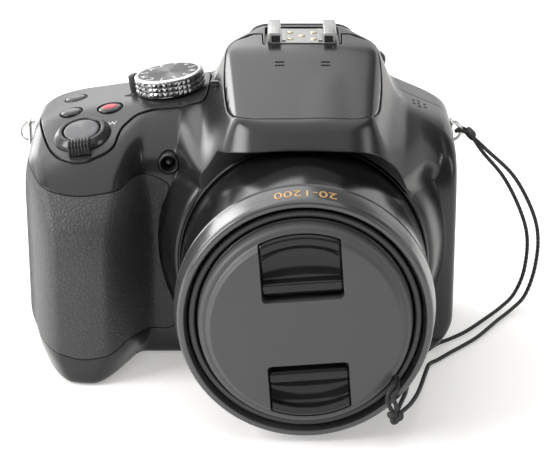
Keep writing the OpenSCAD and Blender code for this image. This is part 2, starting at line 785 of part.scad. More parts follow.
module flash_capacitor() {
  color("#26282c") rod_y(side_x - wall - 5.1, wall + 5, 4.5, plan_r - front_y + 2, board_y - 1);
}

module flash_release() {
  color("#2c2e30") rod_x(release_y, release_z, 1.8, -hump_half - 5.6, -hump_half - 0.4);
  color("#2c2e30") rod_x(release_y, release_z, 2.8, -hump_half - 0.4, -hump_half + 0.8);
}

module mode_dial() {
  color("#5b5d61") on_deck(dial_x, dial_y) {
    translate([0, 0, 2.2]) rotate_extrude() polygon([[0, 0], [dial_r, 0], [dial_r, 1], [dial_r - 0.5, 1.4],
      [dial_r - 0.5, 1.4 + dial_h - 0.6], [dial_r - 1.1, 1.4 + dial_h], [0, 1.4 + dial_h]]);
    translate([0, 0, -wall - 2]) cylinder(r = stem_r, h = wall + 4.4);
    translate([0, 0, -wall - 2]) cylinder(r = stem_r + 1.4, h = 1.4);
  }
}

module power_lever() {
  color("#2c2e30") on_deck(dial_x, dial_y) difference() {
    union() {
      translate([0, 0, 0.4]) cylinder(r = dial_r - 0.6, h = 1.4);
      rotate([0, 0, 158]) box([0, -2.2, 0.4], [dial_r + 3.6, 2.2, 1.8]);
      rotate([0, 0, 158]) box([dial_r + 0.8, -2.2, 0.4], [dial_r + 3.6, 2.2, 4.4]);
    }
    cylinder(r = stem_r + gap, h = 9);
  }
}

module shutter_button() {
  color("#9a9da1") on_slope(x_left + shutter_x, -shutter_y) {
    translate([0, 0, 2.8]) rotate_extrude() polygon([[0, 0], [shutter_r, 0], [shutter_r, 1.8],
      [shutter_r - 0.7, 2.4], [0, 1.7]]);
    translate([0, 0, -wall - 3.4]) cylinder(r = stem_r, h = wall + 6.4);
  }
}

module zoom_lever() {
  color("#3b3d40") on_slope(x_left + shutter_x, -shutter_y) difference() {
    union() {
      translate([0, 0, gap]) cylinder(r = zoom_r, h = 4);
      translate([0, 0, -wall - 1.8]) cylinder(r = stem_r + 1.6, h = wall + 2.4);
      translate([0, 0, -wall - 1.8]) cylinder(r = stem_r + 2.6, h = 1.2);
      box([-3.6, -zoom_r - 3, 0.6], [3.6, 3 - zoom_r, 4.6]);
    }
    translate([0, 0, gap + 0.8]) cylinder(r = shutter_r + gap, h = 9);
    translate([0, 0, -9]) cylinder(r = stem_r + gap, h = 18);
    for (k = [-2 : 2]) box([1.4 * k - 0.3, -zoom_r - 4, 0.9], [1.4 * k + 0.3, 0.6 - zoom_r - 3, 9]);
  }
}

// Button through the deck with a retaining foot
module deck_button(r, out) {
  translate([0, 0, -wall - gap]) rotate_extrude() polygon([[0, 0], [r, 0], [r, wall + gap + out - 0.4],
    [r - 0.4, wall + gap + out], [0, wall + gap + out]]);
  translate([0, 0, -wall - gap - 2]) cylinder(r = r, h = 2.2);
  translate([0, 0, -wall - gap - 2]) cylinder(r = r + 0.9, h = 1);
}

module record_button() {
  color("#3b3d40") on_deck(x_left + 25.6, 1.5) deck_button(record_r, 1.4);
}

module fn_button_front() {
  color("#3b3d40") on_deck(x_left + 13.6, 1) deck_button(fn_r, 1.2);
}

module fn_button_rear() {
  color("#3b3d40") on_deck(x_left + 13.8, 13) deck_button(fn_r, 1.2);
}

module hot_shoe() {
  color("#b9bcc0") {
    box([-shoe_w / 2, 4.2, hump_z], [shoe_w / 2, 20.8, hump_z + 1]);
    both() box([shoe_w / 2 - 1.2, 4.2, hump_z + 0.5], [shoe_w / 2, 20.8, shoe_z]);
    both() box([shoe_w / 2 - 4, 4.2, shoe_z - 1.3], [shoe_w / 2 - 0.5, 20.8, shoe_z]);
  }
}

module shoe_contacts() {
  color("#c9a24a") for (p = [[0, 12], [-3.6, 8.4], [3.6, 8.4], [-3.6, 16], [3.6, 16]])
    translate([p[0], p[1], hump_z + 1]) cylinder(r = 1, h = 0.3);
}

module eyecup() {
  color("#222325") difference() {
    along_y(rear_y, eyecup_y) translate([0, finder_z]) soft_rect(36, 22, 6);
    along_y(rear_y + 4, far) translate([0, finder_z]) soft_rect(24, 14, 4);
    along_y(0, far) translate([0, finder_z]) soft_rect(18, 11, 2);
  }
}

module eyepiece_lens() {
  color("#7d8b9c") along_y(rear_y - 1.6, rear_y + 3.4) translate([0, finder_z]) soft_rect(17.4, 10.4, 1.8);
}

module finder_panel() {
  color("#2a3038") box([-6, rear_y - 13.5, finder_z - 2.8], [6, rear_y - 11.5, finder_z + 5]);
}

module screen_glass() {
  color("#15171a") along_y(rear_y - wall - snug, rear_y) translate([lcd_x, lcd_z]) soft_rect(lcd_w, lcd_h, 2);
}

module screen_panel() {
  color("#3a3f46") along_y(rear_y - wall - 3.6, rear_y - wall - snug) translate([lcd_x, lcd_z])
    soft_rect(lcd_w - 4, lcd_h - 4, 1);
}

module rear_dial() {
  color("#2c2e30") translate([wheel_x, wheel_y, wheel_z]) {
    difference() {
      cylinder(r = wheel_r, h = wheel_t);
      for (k = [0 : 23]) rotate([0, 0, 15 * k]) translate([wheel_r + 0.2, 0, -1]) cylinder(r = 0.7, h = 9);
    }
    translate([0, 0, -3]) cylinder(r = 1.2, h = wheel_t + 5.8);
  }
}

// Key through the rear wall with a retaining foot
module rear_key(at, r) {
  rod_y(at[0], at[1], r, rear_y - wall - gap - 0.2, rear_y + key_out);
  rod_y(at[0], at[1], r + 0.9, rear_y - wall - gap - 1, rear_y - wall - gap);
}

module lock_button() {
  color("#3b3d40") rear_key(lock_at, key_r);
}

module finder_button() {
  color("#3b3d40") rear_key(finder_at, key_r);
}

module playback_button() {
  color("#3b3d40") rear_key(play_at, key_r);
}

module display_button() {
  color("#3b3d40") rear_key(display_at, key_r);
}

module quick_menu_button() {
  color("#3b3d40") rear_key(quick_at, key_r);
}

module cursor_pad() {
  color("#3b3d40") difference() {
    rear_key([pad_x, pad_z], pad_r);
    rod_y(pad_x, pad_z, set_r + gap, 0, far);
  }
}

module centre_button() {
  color("#4a4c50") rod_y(pad_x, pad_z, set_r, rear_y - wall - 2, rear_y + key_out + 0.2);
}

module diopter_wheel() {
  color("#2c2e30") difference() {
    rod_y(diopter_x - 1.2, diopter_z, 4.2, diopter_y, diopter_y + 2.8);
    for (k = [0 : 17]) translate([diopter_x - 1.2, 0, diopter_z]) rotate([0, 20 * k, 0])
      rod_y(4.4, 0, 0.5, 0, far);
  }
  color("#2c2e30") rod_y(diopter_x - 1.2, diopter_z, 0.8, diopter_y, rear_y - 1);
}

module battery() {
  color("#26282c") box([bay_x0, bay_y0, wall + 0.6], [bay_x0 + battery_t, bay_y1, wall + 0.6 + battery_h]);
}

module memory_card() {
  color("#27406b") box([bay_x1 - card_t, bay_y0 + 2, wall + 0.6], [bay_x1, bay_y0 + 26, wall + 32.6]);
}

// Bay open below that holds the battery and the card
module battery_box() {
  color("#45484c") difference() {
    box([bay_x0 - box_t, bay_y0 - box_t, box_z], [bay_x1 + box_t, bay_y1 + box_t, wall + battery_h + 2]);
    box([bay_x0 - snug, bay_y0 - snug, 0], [bay_x0 + battery_t + snug, bay_y1 + snug, wall + battery_h + 0.8]);
    box([bay_x1 - card_t - snug, bay_y0 + 2 - snug, 0], [bay_x1 + snug, bay_y0 + 26 + snug, wall + 32.8]);
  }
}

module battery_door() {
  color("#35373a") difference() {
    union() {
      box([door_x0, door_y0, 0], [door_x1, door_hy, wall]);
      rod_x(door_hy, door_hr, door_hr, door_x0, door_x1);
    }
    rod_x(door_hy, door_hr, door_pin_r + running, -far, far);
    box([door_x0 + 8 - gap, door_y0 + 2.4 - gap, -1],
      [door_x0 + 8 + latch_w + gap, door_y0 + 2.4 + latch_l + latch_travel + gap, 1.5]);
  }
}

module battery_door_pin() {
  color("#b9bcc0") rod_x(door_hy, door_hr, door_pin_r, door_x0 - gap - 2.4, door_x1 + gap + 2.4);
}

module battery_door_latch() {
  color("#5b5d61") difference() {
    box([door_x0 + 8, door_y0 + 2.4, 0.2], [door_x0 + 8 + latch_w, door_y0 + 2.4 + latch_l, 1.1]);
    for (k = [1 : 4]) box([door_x0 + 8 + 2 * k - 0.3, door_y0, 0], [door_x0 + 8 + 2 * k + 0.3, 0, 0.5]);
  }
}

module terminal_door() {
  color("#35373a") {
    difference() {
      union() {
        box([side_x - wall + 0.2, port_hy, port_z0], [side_x, port_y1, port_z1]);
        translate([side_x - port_hr, port_hy, port_z0]) cylinder(r = port_hr, h = port_z1 - port_z0);
      }
      box([side_x - 0.6, port_y1 - 2, lens_z - 6], [far, port_y1 - 0.8, lens_z + 2]);
    }
    translate([side_x - port_hr, port_hy, port_z0 - 2.6]) cylinder(r = 0.7, h = port_z1 - port_z0 + 5.2);
  }
}

module main_board() {
  color("#1f5a3a") difference() {
    union() {
      box([-38, board_y, 6], [side_x - wall - 5, board_y + 1.6, 64]);
      box([-12, board_y + 1.6, 24], [6, board_y + 3.2, 42]);
    }
    for (z = [14, 30]) rod_y(14, z, 1.2, 0, far);
  }
  color("#8d9094") difference() {
    box([side_x - wall - 11, board_y + 1.6, 22], [side_x - wall - 3.2, board_y + 7.6, 46]);
    box([side_x - wall - 8, board_y + 2.4, 24], [far, board_y + 6.8, 33]);
    box([side_x - wall - 8, board_y + 2.4, 36], [far, board_y + 6.8, 44]);
  }
}

module af_lamp() {
  color("#d8cdb8") rod_y(lamp_x, lamp_z, 2.8, -front_y - 0.6, 0.6 - front_y + wall);
}

front_case();
rear_case();
top_cover();
grip_rubber();
thumb_rest();
chassis();
case_screws();
tripod_bush();
strap_lugs();
lens_bezel();
outer_barrel();
mid_barrel();
front_barrel();
front_element();
middle_lens_group();
rear_lens_group();
image_sensor();
zoom_motor();
lens_cap();
cap_tab_top();
cap_tab_bottom();
lens_cap_cord();
flash_head();
flash_window();
flash_tube();
flash_hinge_pins();
flash_capacitor();
flash_release();
mode_dial();
power_lever();
shutter_button();
zoom_lever();
record_button();
fn_button_front();
fn_button_rear();
hot_shoe();
shoe_contacts();
eyecup();
eyepiece_lens();
finder_panel();
screen_glass();
screen_panel();
rear_dial();
lock_button();
finder_button();
playback_button();
display_button();
quick_menu_button();
cursor_pad();
centre_button();
diopter_wheel();
battery();
memory_card();
battery_box();
battery_door();
battery_door_pin();
battery_door_latch();
terminal_door();
main_board();
af_lamp();
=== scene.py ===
"""Bridge camera with a long zoom lens, a pop-up flash and a corded lens cap.

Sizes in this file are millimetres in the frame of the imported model: +X is on the right seen from
the front, the front faces -Y, +Z is up, and the origin is the mouth of the tripod socket.
"""
import logging
import math
from collections.abc import Callable, Iterable
from dataclasses import dataclass, field
from enum import Enum
from functools import reduce

import bpy
import numpy as np
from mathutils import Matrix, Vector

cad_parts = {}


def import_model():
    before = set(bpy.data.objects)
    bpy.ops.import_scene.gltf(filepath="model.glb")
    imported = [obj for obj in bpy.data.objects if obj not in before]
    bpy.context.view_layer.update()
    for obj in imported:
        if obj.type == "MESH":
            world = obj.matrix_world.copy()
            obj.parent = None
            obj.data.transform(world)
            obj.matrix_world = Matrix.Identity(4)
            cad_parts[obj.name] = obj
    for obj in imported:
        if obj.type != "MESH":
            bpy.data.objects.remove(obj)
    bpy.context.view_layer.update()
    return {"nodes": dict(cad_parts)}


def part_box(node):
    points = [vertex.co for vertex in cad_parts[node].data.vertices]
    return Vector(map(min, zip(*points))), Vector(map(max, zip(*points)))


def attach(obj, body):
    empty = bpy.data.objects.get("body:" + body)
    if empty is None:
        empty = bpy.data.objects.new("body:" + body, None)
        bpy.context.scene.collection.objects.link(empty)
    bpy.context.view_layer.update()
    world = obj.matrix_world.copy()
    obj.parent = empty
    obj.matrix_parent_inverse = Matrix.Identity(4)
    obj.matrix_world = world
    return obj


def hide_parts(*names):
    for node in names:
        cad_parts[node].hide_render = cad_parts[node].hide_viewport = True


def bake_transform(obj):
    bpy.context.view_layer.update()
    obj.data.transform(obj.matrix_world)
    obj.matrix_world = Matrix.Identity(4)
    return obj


LOG = logging.getLogger("bridge_camera")
MM = 0.001
LENS_Z = 36.85
DIAL_PLACE = (-40.2, 8.5)
DECK_SLOPE = 0.140541
FRONT_SLOPE = 0.267949
FULL_TURN = 2.0 * math.pi
TUBE_REFERENCE = (0.31, 0.87, 0.38)
CRISP = 0.02

Array = np.ndarray
Object = bpy.types.Object
Tree = bpy.types.NodeTree
Socket = bpy.types.NodeSocket
Colour = tuple[float, float, float]
Point = tuple[float, float, float]


class Cut(Enum):
    """What a cutter does to a piece."""

    KEEP = "INTERSECT"
    TAKE = "DIFFERENCE"
    ADD = "UNION"


class Grain(Enum):
    """The fine texture of a finish."""

    SATIN = "satin"
    LEATHER = "leather"
    SPUN = "spun"
    BRUSHED = "brushed"


def unit(vectors: Array) -> Array:
    """Vectors scaled to length one."""
    vectors = np.asarray(vectors, float)
    return vectors / np.linalg.norm(vectors, axis=-1, keepdims=True)


def smooth_max(a: Array, b: Array, reach: float) -> Array:
    """The larger of two values, blended by a parabola where they differ by less than the reach."""
    h = np.clip(0.5 + 0.5 * (a - b) / reach, 0, 1)
    return b + (a - b) * h + reach * h * (1 - h)


def smooth_min(a: Array, b: Array, reach: float) -> Array:
    """The smaller of two values, blended in the same way."""
    return -smooth_max(-a, -b, reach)


def ramp(d: Array, width: float) -> Array:
    """Zero below nought and d above it, with a soft knee of that width: width * log(1 + e^(d/width))."""
    return width * np.logaddexp(0, d / width)


def smooth_step(t: Array) -> Array:
    """Rises from 0 to 1 as t does, level at both ends: t*t*(3 - 2t)."""
    t = np.clip(t, 0, 1)
    return t * t * (3 - 2 * t)


def zigzag(t: Array) -> Array:
    """A triangle wave of period one: 0 at whole numbers and 1 halfway between them."""
    return 1 - np.abs(2 * (t - np.floor(t)) - 1)


@dataclass(frozen=True)
class Axes:
    """A local frame: its origin in millimetres and unit vectors to the right, up and outwards."""

    origin: Point
    right: Point = (1, 0, 0)
    up: Point = (0, 1, 0)
    out: Point = (0, 0, 1)

    def place(self, local: Array) -> Array:
        """origin + a*right + b*up + c*out for every local point (a, b, c)."""
        return np.asarray(self.origin, float) + local @ np.array((self.right, self.up, self.out), float)

    def shifted(self, a: float, b: float, c: float = 0.0) -> "Axes":
        """The same frame with its origin moved by a, b and c along its own vectors."""
        origin = self.place(np.array((a, b, c), float))
        return Axes(tuple(origin), self.right, self.up, self.out)


def front_axes(x: float = 0.0, z: float = LENS_Z) -> Axes:
    """A frame that faces forwards, with its heights measured from the plane y = 0."""
    return Axes((x, 0, z), (1, 0, 0), (0, 0, 1), (0, -1, 0))


def rear_axes(x: float, z: float) -> Axes:
    """A frame that faces backwards, with its heights measured from the plane y = 0."""
    return Axes((x, 0, z), (-1, 0, 0), (0, 0, 1), (0, 1, 0))


def deck_axes(x: float, y: float) -> Axes:
    """A frame square to the sloping deck at a place in plan."""
    height = 75.0 + DECK_SLOPE * (x - DIAL_PLACE[0])
    return Axes((x, y, height), (0.990268, 0, 0.139173), (0, 1, 0), (-0.139173, 0, 0.990268))


def front_fall(y: Array) -> Array:
    """How far the deck has fallen at a place towards its front: FRONT_SLOPE * ramp(-1 - y, 2)."""
    return FRONT_SLOPE * ramp(-1 - y, 2.0)


WORLD_AXES = Axes((0, 0, 0))
RIGHT_AXES = Axes((0, 0, 0), (0, 1, 0), (0, 0, 1), (1, 0, 0))
BASE_AXES = Axes((0, 0, 0), (1, 0, 0), (0, -1, 0), (0, 0, -1))
LENS_AXES = front_axes()
CAP_AXES = Axes((0, 0, LENS_Z), (0.99744, 0, 0.07150), (-0.07150, 0, 0.99744), (0, -1, 0))
DIAL_AXES = deck_axes(*DIAL_PLACE)


@dataclass
class Solid:
    """A closed surface: points in millimetres, and faces as runs of point numbers.

    corners holds the point numbers of all faces one after another, and sizes the corners of each face.
    """

    points: Array
    corners: Array
    sizes: Array

    def __add__(self, other: "Solid") -> "Solid":
        """Both surfaces as one, with nothing merged.

        Args:
            other: The surface to add.
        Returns:
            The closed surface.
        """
        return Solid(
            np.vstack((self.points, other.points)),
            np.concatenate((self.corners, other.corners + len(self.points))),
            np.concatenate((self.sizes, other.sizes)),
        )

    def outward(self) -> "Solid":
        """The surface with its faces turned outwards: all are reversed if the signed volume is negative.

        Returns:
            The closed surface.
        """
        starts = np.cumsum(self.sizes) - self.sizes
        face = np.repeat(np.arange(len(self.sizes)), self.sizes)
        place = np.arange(len(self.corners)) - starts[face]
        inner = np.flatnonzero((place >= 1) & (place <= self.sizes[face] - 2))
        a = self.points[self.corners[starts[face[inner]]]]
        b = self.points[self.corners[inner]]
        c = self.points[self.corners[inner + 1]]
        if np.einsum("ij,ij->", a, np.cross(b, c)) < 0:
            self.corners = self.corners[starts[face] + self.sizes[face] - 1 - place]
        return self

    def piece(self, name: str) -> Object:
        """A Blender object of this surface, in metres, at the origin.

        Args:
            name: The object's name.
        Returns:
            The object.
        """
        mesh = bpy.data.meshes.new(name)
        mesh.vertices.add(len(self.points))
        mesh.vertices.foreach_set("co", (self.points * MM).astype(np.float32).ravel())
        mesh.loops.add(len(self.corners))
        mesh.loops.foreach_set("vertex_index", self.corners.astype(np.int32))
        mesh.polygons.add(len(self.sizes))
        mesh.polygons.foreach_set("loop_start", (np.cumsum(self.sizes) - self.sizes).astype(np.int32))
        mesh.update(calc_edges=True)
        obj = bpy.data.objects.new(name, mesh)
        bpy.context.scene.collection.objects.link(obj)
        return obj


def joined(parts: Iterable[Solid]) -> Solid:
    """Several surfaces as one, with nothing merged."""
    return reduce(Solid.__add__, parts)


def skin(grid: Array, closed: bool = False, poles: tuple = (None, None)) -> Solid:
    """A closed surface through rings of points.

    Neighbouring rings are joined by quads; an end is a flat face, or a fan to its pole.

    Args:
        grid: Rings by points by three coordinates.
        closed: Whether the last ring joins the first.
        poles: The point that closes each end, or None for a flat face.
    Returns:
        The surface, faces outwards.
    """
    rings, around = grid.shape[:2]
    r, c = np.meshgrid(np.arange(rings if closed else rings - 1), np.arange(around), indexing="ij")
    low, high, nxt = r * around, (r + 1) % rings * around, (c + 1) % around
    quads = np.stack((low + c, low + nxt, high + nxt, high + c), -1).reshape(-1, 4)
    points, corners, sizes = [grid.reshape(-1, 3)], [quads.ravel()], [np.full(len(quads), 4)]
    count = rings * around
    ends = () if closed else ((0, -1), ((rings - 1) * around, 1))
    for (start, turn), pole in zip(ends, poles):
        loop = start + np.arange(around)[::turn]
        if pole is None:
            corners.append(loop)
            sizes.append(np.array([around]))
            continue
        points.append(np.asarray(pole, float)[None])
        fan = np.stack((loop, np.roll(loop, -1), np.full(around, count)), -1)
        corners.append(fan.ravel())
        sizes.append(np.full(around, 3))
        count += 1
    return Solid(np.vstack(points), np.concatenate(corners), np.concatenate(sizes)).outward()


def rounded(corners: Array, radius: float | Array, closed: bool = True, steps: int = 5) -> Array:
    """An outline with its corners rounded.

    Each corner becomes a parabola between the points that lie that radius along its two edges.

    Args:
        corners: Points of the outline.
        radius: One radius, or one for each corner.
        closed: Whether the last point joins the first.
        steps: Points on each rounded corner.
    Returns:
        The points of the rounded outline.
    """
    p = np.asarray(corners, float)
    before, after = np.roll(p, 1, 0) - p, np.roll(p, -1, 0) - p
    reach = np.minimum(np.linalg.norm(before, axis=1), np.linalg.norm(after, axis=1)) * 0.48
    cut = np.clip(np.broadcast_to(radius, len(p)), 0.02, reach)[:, None]
    start, end = (p + unit(before) * cut)[:, None], (p + unit(after) * cut)[:, None]
    t = np.linspace(0, 1, steps)[None, :, None]
    arcs = (1 - t) ** 2 * start + 2 * t * (1 - t) * p[:, None] + t * t * end
    if closed:
        return arcs.reshape(-1, p.shape[1])
    return np.vstack((p[:1], arcs[1:-1].reshape(-1, p.shape[1]), p[-1:]))


def spline(points: Array, per: int = 8, closed: bool = False) -> Array:
    """A Catmull-Rom curve through the points, with that many steps between two of them.

    Args:
        points: Points of the curve.
        per: Steps between two points.
        closed: Whether the last point joins the first.
    Returns:
        The points.
    """
    p = np.asarray(points, float)
    ends = (p[-1:], p[:2]) if closed else (2 * p[:1] - p[1:2], 2 * p[-1:] - p[-2:-1])
    line = np.vstack((ends[0], p, ends[1]))
    a, b, c, d = (line[k : len(line) - 3 + k, None] for k in range(4))
    t = np.linspace(0, 1, per, endpoint=False)[None, :, None]
    curve = 0.5 * (2 * b + (c - a) * t + (2 * a - 5 * b + 4 * c - d) * t**2 + (3 * b - a - 3 * c + d) * t**3)
    curve = curve.reshape(-1, p.shape[1])
    return curve if closed else np.vstack((curve, p[-1:]))


def resampled(path: Array, count: int) -> Array:
    """An open path as that many points, evenly spaced along it.

    Args:
        path: Points of the centreline.
        count: How many points to return.
    Returns:
        The points.
    """
    along = np.concatenate(([0], np.cumsum(np.linalg.norm(np.diff(path, axis=0), axis=1))))
    even = np.linspace(0, along[-1], count)
    return np.stack([np.interp(even, along, path[:, k]) for k in range(path.shape[1])], -1)


def path_length(path: Array) -> float:
    """The length of a path through its points."""
    return float(np.linalg.norm(np.diff(path, axis=0), axis=1).sum())


def offset(outline: Array, distance: float) -> Array:
    """An outline moved outwards: each point goes along the mitre of its two edges' normals.

    Args:
        outline: Points of the outline.
        distance: How far to move, outwards.
    Returns:
        The points.
    """
    edge = np.roll(outline, -1, 0) - outline
    normal = unit(np.stack((edge[:, 1], -edge[:, 0]), -1))
    mitre = normal + np.roll(normal, 1, 0)
    mitre = mitre / np.maximum(np.sum(mitre * mitre, -1, keepdims=True) / 2, 0.4)
    area = np.sum(outline[:, 0] * edge[:, 1] - outline[:, 1] * edge[:, 0])
    return outline + np.sign(area) * distance * mitre


def circle(radius: float, steps: int = 96) -> Array:
    """Points of a circle."""
    t = np.arange(steps) * FULL_TURN / steps
    return radius * np.stack((np.cos(t), np.sin(t)), -1)


def oblong(x0: float, x1: float, y0: float, y1: float, radius: float = 0.5, steps: int = 7) -> Array:
    """A rectangle with rounded corners."""
    return rounded(((x0, y0), (x1, y0), (x1, y1), (x0, y1)), radius, steps=steps)


def stack(rings: list[tuple[Array, float]], axes: Axes, closed: bool = False) -> Solid:
    """Flat outlines of equal length laid at heights in a local frame, and joined one to the next."""
    grid = np.stack([np.column_stack((ring, np.full(len(ring), height))) for ring, height in rings])
    return skin(axes.place(grid), closed)


def slab(
    outline: Array, low: float, high: float, axes: Axes, edge: float = 0.3, foot: float = CRISP
) -> Solid:
    """An outline raised from low to high, with its upper edge and its foot rounded by quarter circles.

    Args:
        outline: Points of the outline.
        low: Height of the foot.
        high: Height of the top.
        axes: The local frame.
        edge: Radius of the upper edge.
        foot: Radius of the lower edge.
    Returns:
        The closed surface.
    """
    turn = np.linspace(0, math.pi / 2, 5)
    turns = list(zip(np.sin(turn), np.cos(turn)))
    rings = [(offset(outline, -foot * (1 - s)), low + foot * (1 - c)) for s, c in turns]
    rings += [(offset(outline, -edge * (1 - c)), high - edge * (1 - s)) for s, c in turns]
    return stack(rings, axes)


def drum(radius: float, low: float, high: float, axes: Axes, edge: float = CRISP) -> Solid:
    """A short round post."""
    return slab(circle(radius, 64), low, high, axes, edge)


def revolve(profile: Array, axes: Axes, steps: int = 160, closed: bool = True) -> Solid:
    """A profile of (radius, height) carried round the axis: (r cos t, r sin t, h).

    Args:
        profile: Points of the profile; an open one may end on the axis.
        axes: The frame whose outward vector is the axis.
        steps: Steps in the turn.
        closed: Whether the profile is a closed loop.
    Returns:
        The surface of revolution.
    """
    p = np.asarray(profile, float)
    poles = [None, None]
    if not closed:
        for end, row in ((0, p[0]), (1, p[-1])):
            if row[0] < 1e-6:
                poles[end] = axes.place(np.array((0, 0, row[1])))
        p = p[p[:, 0] >= 1e-6]
    t = (np.arange(steps) * FULL_TURN / steps)[None]
    radius, height = p[:, :1], p[:, 1:]
    grid = np.stack((radius * np.cos(t), radius * np.sin(t), height + 0 * t), -1)
    return skin(axes.place(grid), closed, tuple(poles))


def tube(path: Array, radius: float | Array, sides: int = 12, closed: bool = False) -> Solid:
    """A circle carried square along a path.

    Args:
        path: Points of the centreline.
        radius: One radius, or radii that fit stations by sides.
        sides: Points round the tube.
        closed: Whether the path's last point joins its first.
    Returns:
        The tube, with flat ends where its path is open.
    """
    tangent = unit(np.roll(path, -1, 0) - np.roll(path, 1, 0) if closed else np.gradient(path, axis=0))
    side = unit(np.cross(tangent, TUBE_REFERENCE))
    up = np.cross(tangent, side)
    t = np.arange(sides) * FULL_TURN / sides
    ring = np.cos(t)[None, :, None] * side[:, None] + np.sin(t)[None, :, None] * up[:, None]
    reach = np.broadcast_to(radius, (len(path), sides))[..., None]
    return skin(path[:, None] + reach * ring, closed)


def carve(target: Object, cut: Cut, *tools: Solid | Object) -> Object:
    """Cuts a piece with closed surfaces, one after another, and keeps the result as its mesh.

    Args:
        target: The object that is cut.
        cut: What the cutters do.
        tools: The cutters, which are used up.
    Returns:
        The object.
    """
    for tool in tools:
        cutter = tool if isinstance(tool, Object) else tool.piece("cutter")
        modifier = target.modifiers.new("cut", "BOOLEAN")
        modifier.object = cutter
        modifier.operation = cut.value
        for solver in ("MANIFOLD", "EXACT"):
            modifier.solver = solver
            graph = bpy.context.evaluated_depsgraph_get()
            result = bpy.data.meshes.new_from_object(target.evaluated_get(graph))
            if len(result.polygons):
                break
        target.modifiers.clear()
        spent = target.data
        target.data = result
        bpy.data.meshes.remove(spent)
        discard(cutter)
    return target


def discard(obj: Object) -> None:
    """Removes a helper object and its mesh.

    Args:
        obj: The object.
    """
    mesh = obj.data
    bpy.data.objects.remove(obj)
    bpy.data.meshes.remove(mesh)


def copied(obj: Object, name: str) -> Object:
    """A copy of a piece with a mesh of its own.

    Args:
        obj: The object.
        name: The object's name.
    Returns:
        The object.
    """
    twin = obj.copy()
    twin.data = obj.data.copy()
    twin.name = name
    twin.data.name = name
    bpy.context.scene.collection.objects.link(twin)
    return twin


def lettering(text: str, size: float, depth: float) -> Solid:
    """Flat lettering as a closed surface: local x along the line, y up and z through its depth.

    Args:
        text: The letters.
        size: Height of the letters.
        depth: Thickness of the letters.
    Returns:
        The closed surface.
    """
    curve = bpy.data.curves.new("lettering", "FONT")
    curve.body, curve.size, curve.extrude = text, size, depth / 2
    curve.align_x, curve.align_y = "CENTER", "CENTER"
    curve.resolution_u = 3
    obj = bpy.data.objects.new("lettering", curve)
    mesh = bpy.data.meshes.new_from_object(obj)
    points = np.zeros(len(mesh.vertices) * 3)
    mesh.vertices.foreach_get("co", points)
    corners = np.zeros(len(mesh.loops), np.int32)
    mesh.loops.foreach_get("vertex_index", corners)
    sizes = np.zeros(len(mesh.polygons), np.int32)
    mesh.polygons.foreach_get("loop_total", sizes)
    bpy.data.objects.remove(obj)
    bpy.data.curves.remove(curve)
    bpy.data.meshes.remove(mesh)
    return Solid(points.reshape(-1, 3), corners.astype(int), sizes.astype(int))


def feed(tree: Tree, target: bpy.types.Node, inputs: dict) -> None:
    """Sets the inputs of a node.

    Args:
        tree: The node's tree.
        target: The node.
        inputs: For each input, a value for it or a socket to link to it.
    """
    for key, value in inputs.items():
        if isinstance(value, Socket):
            tree.links.new(value, target.inputs[key])
        else:
            target.inputs[key].default_value = value


def node(tree: Tree, kind: str, inputs: dict | None = None, **settings: str) -> bpy.types.Node:
    """A new shader node.

    Args:
        tree: The tree that it goes into.
        kind: Its type, without the common start of the name.
        inputs: For each input, a value for it or a socket to link to it.
        settings: Its own settings, made before the inputs.
    Returns:
        The node.
    """
    made = tree.nodes.new("ShaderNode" + kind)
    for key, value in settings.items():
        setattr(made, key, value)
    feed(tree, made, inputs or {})
    return made


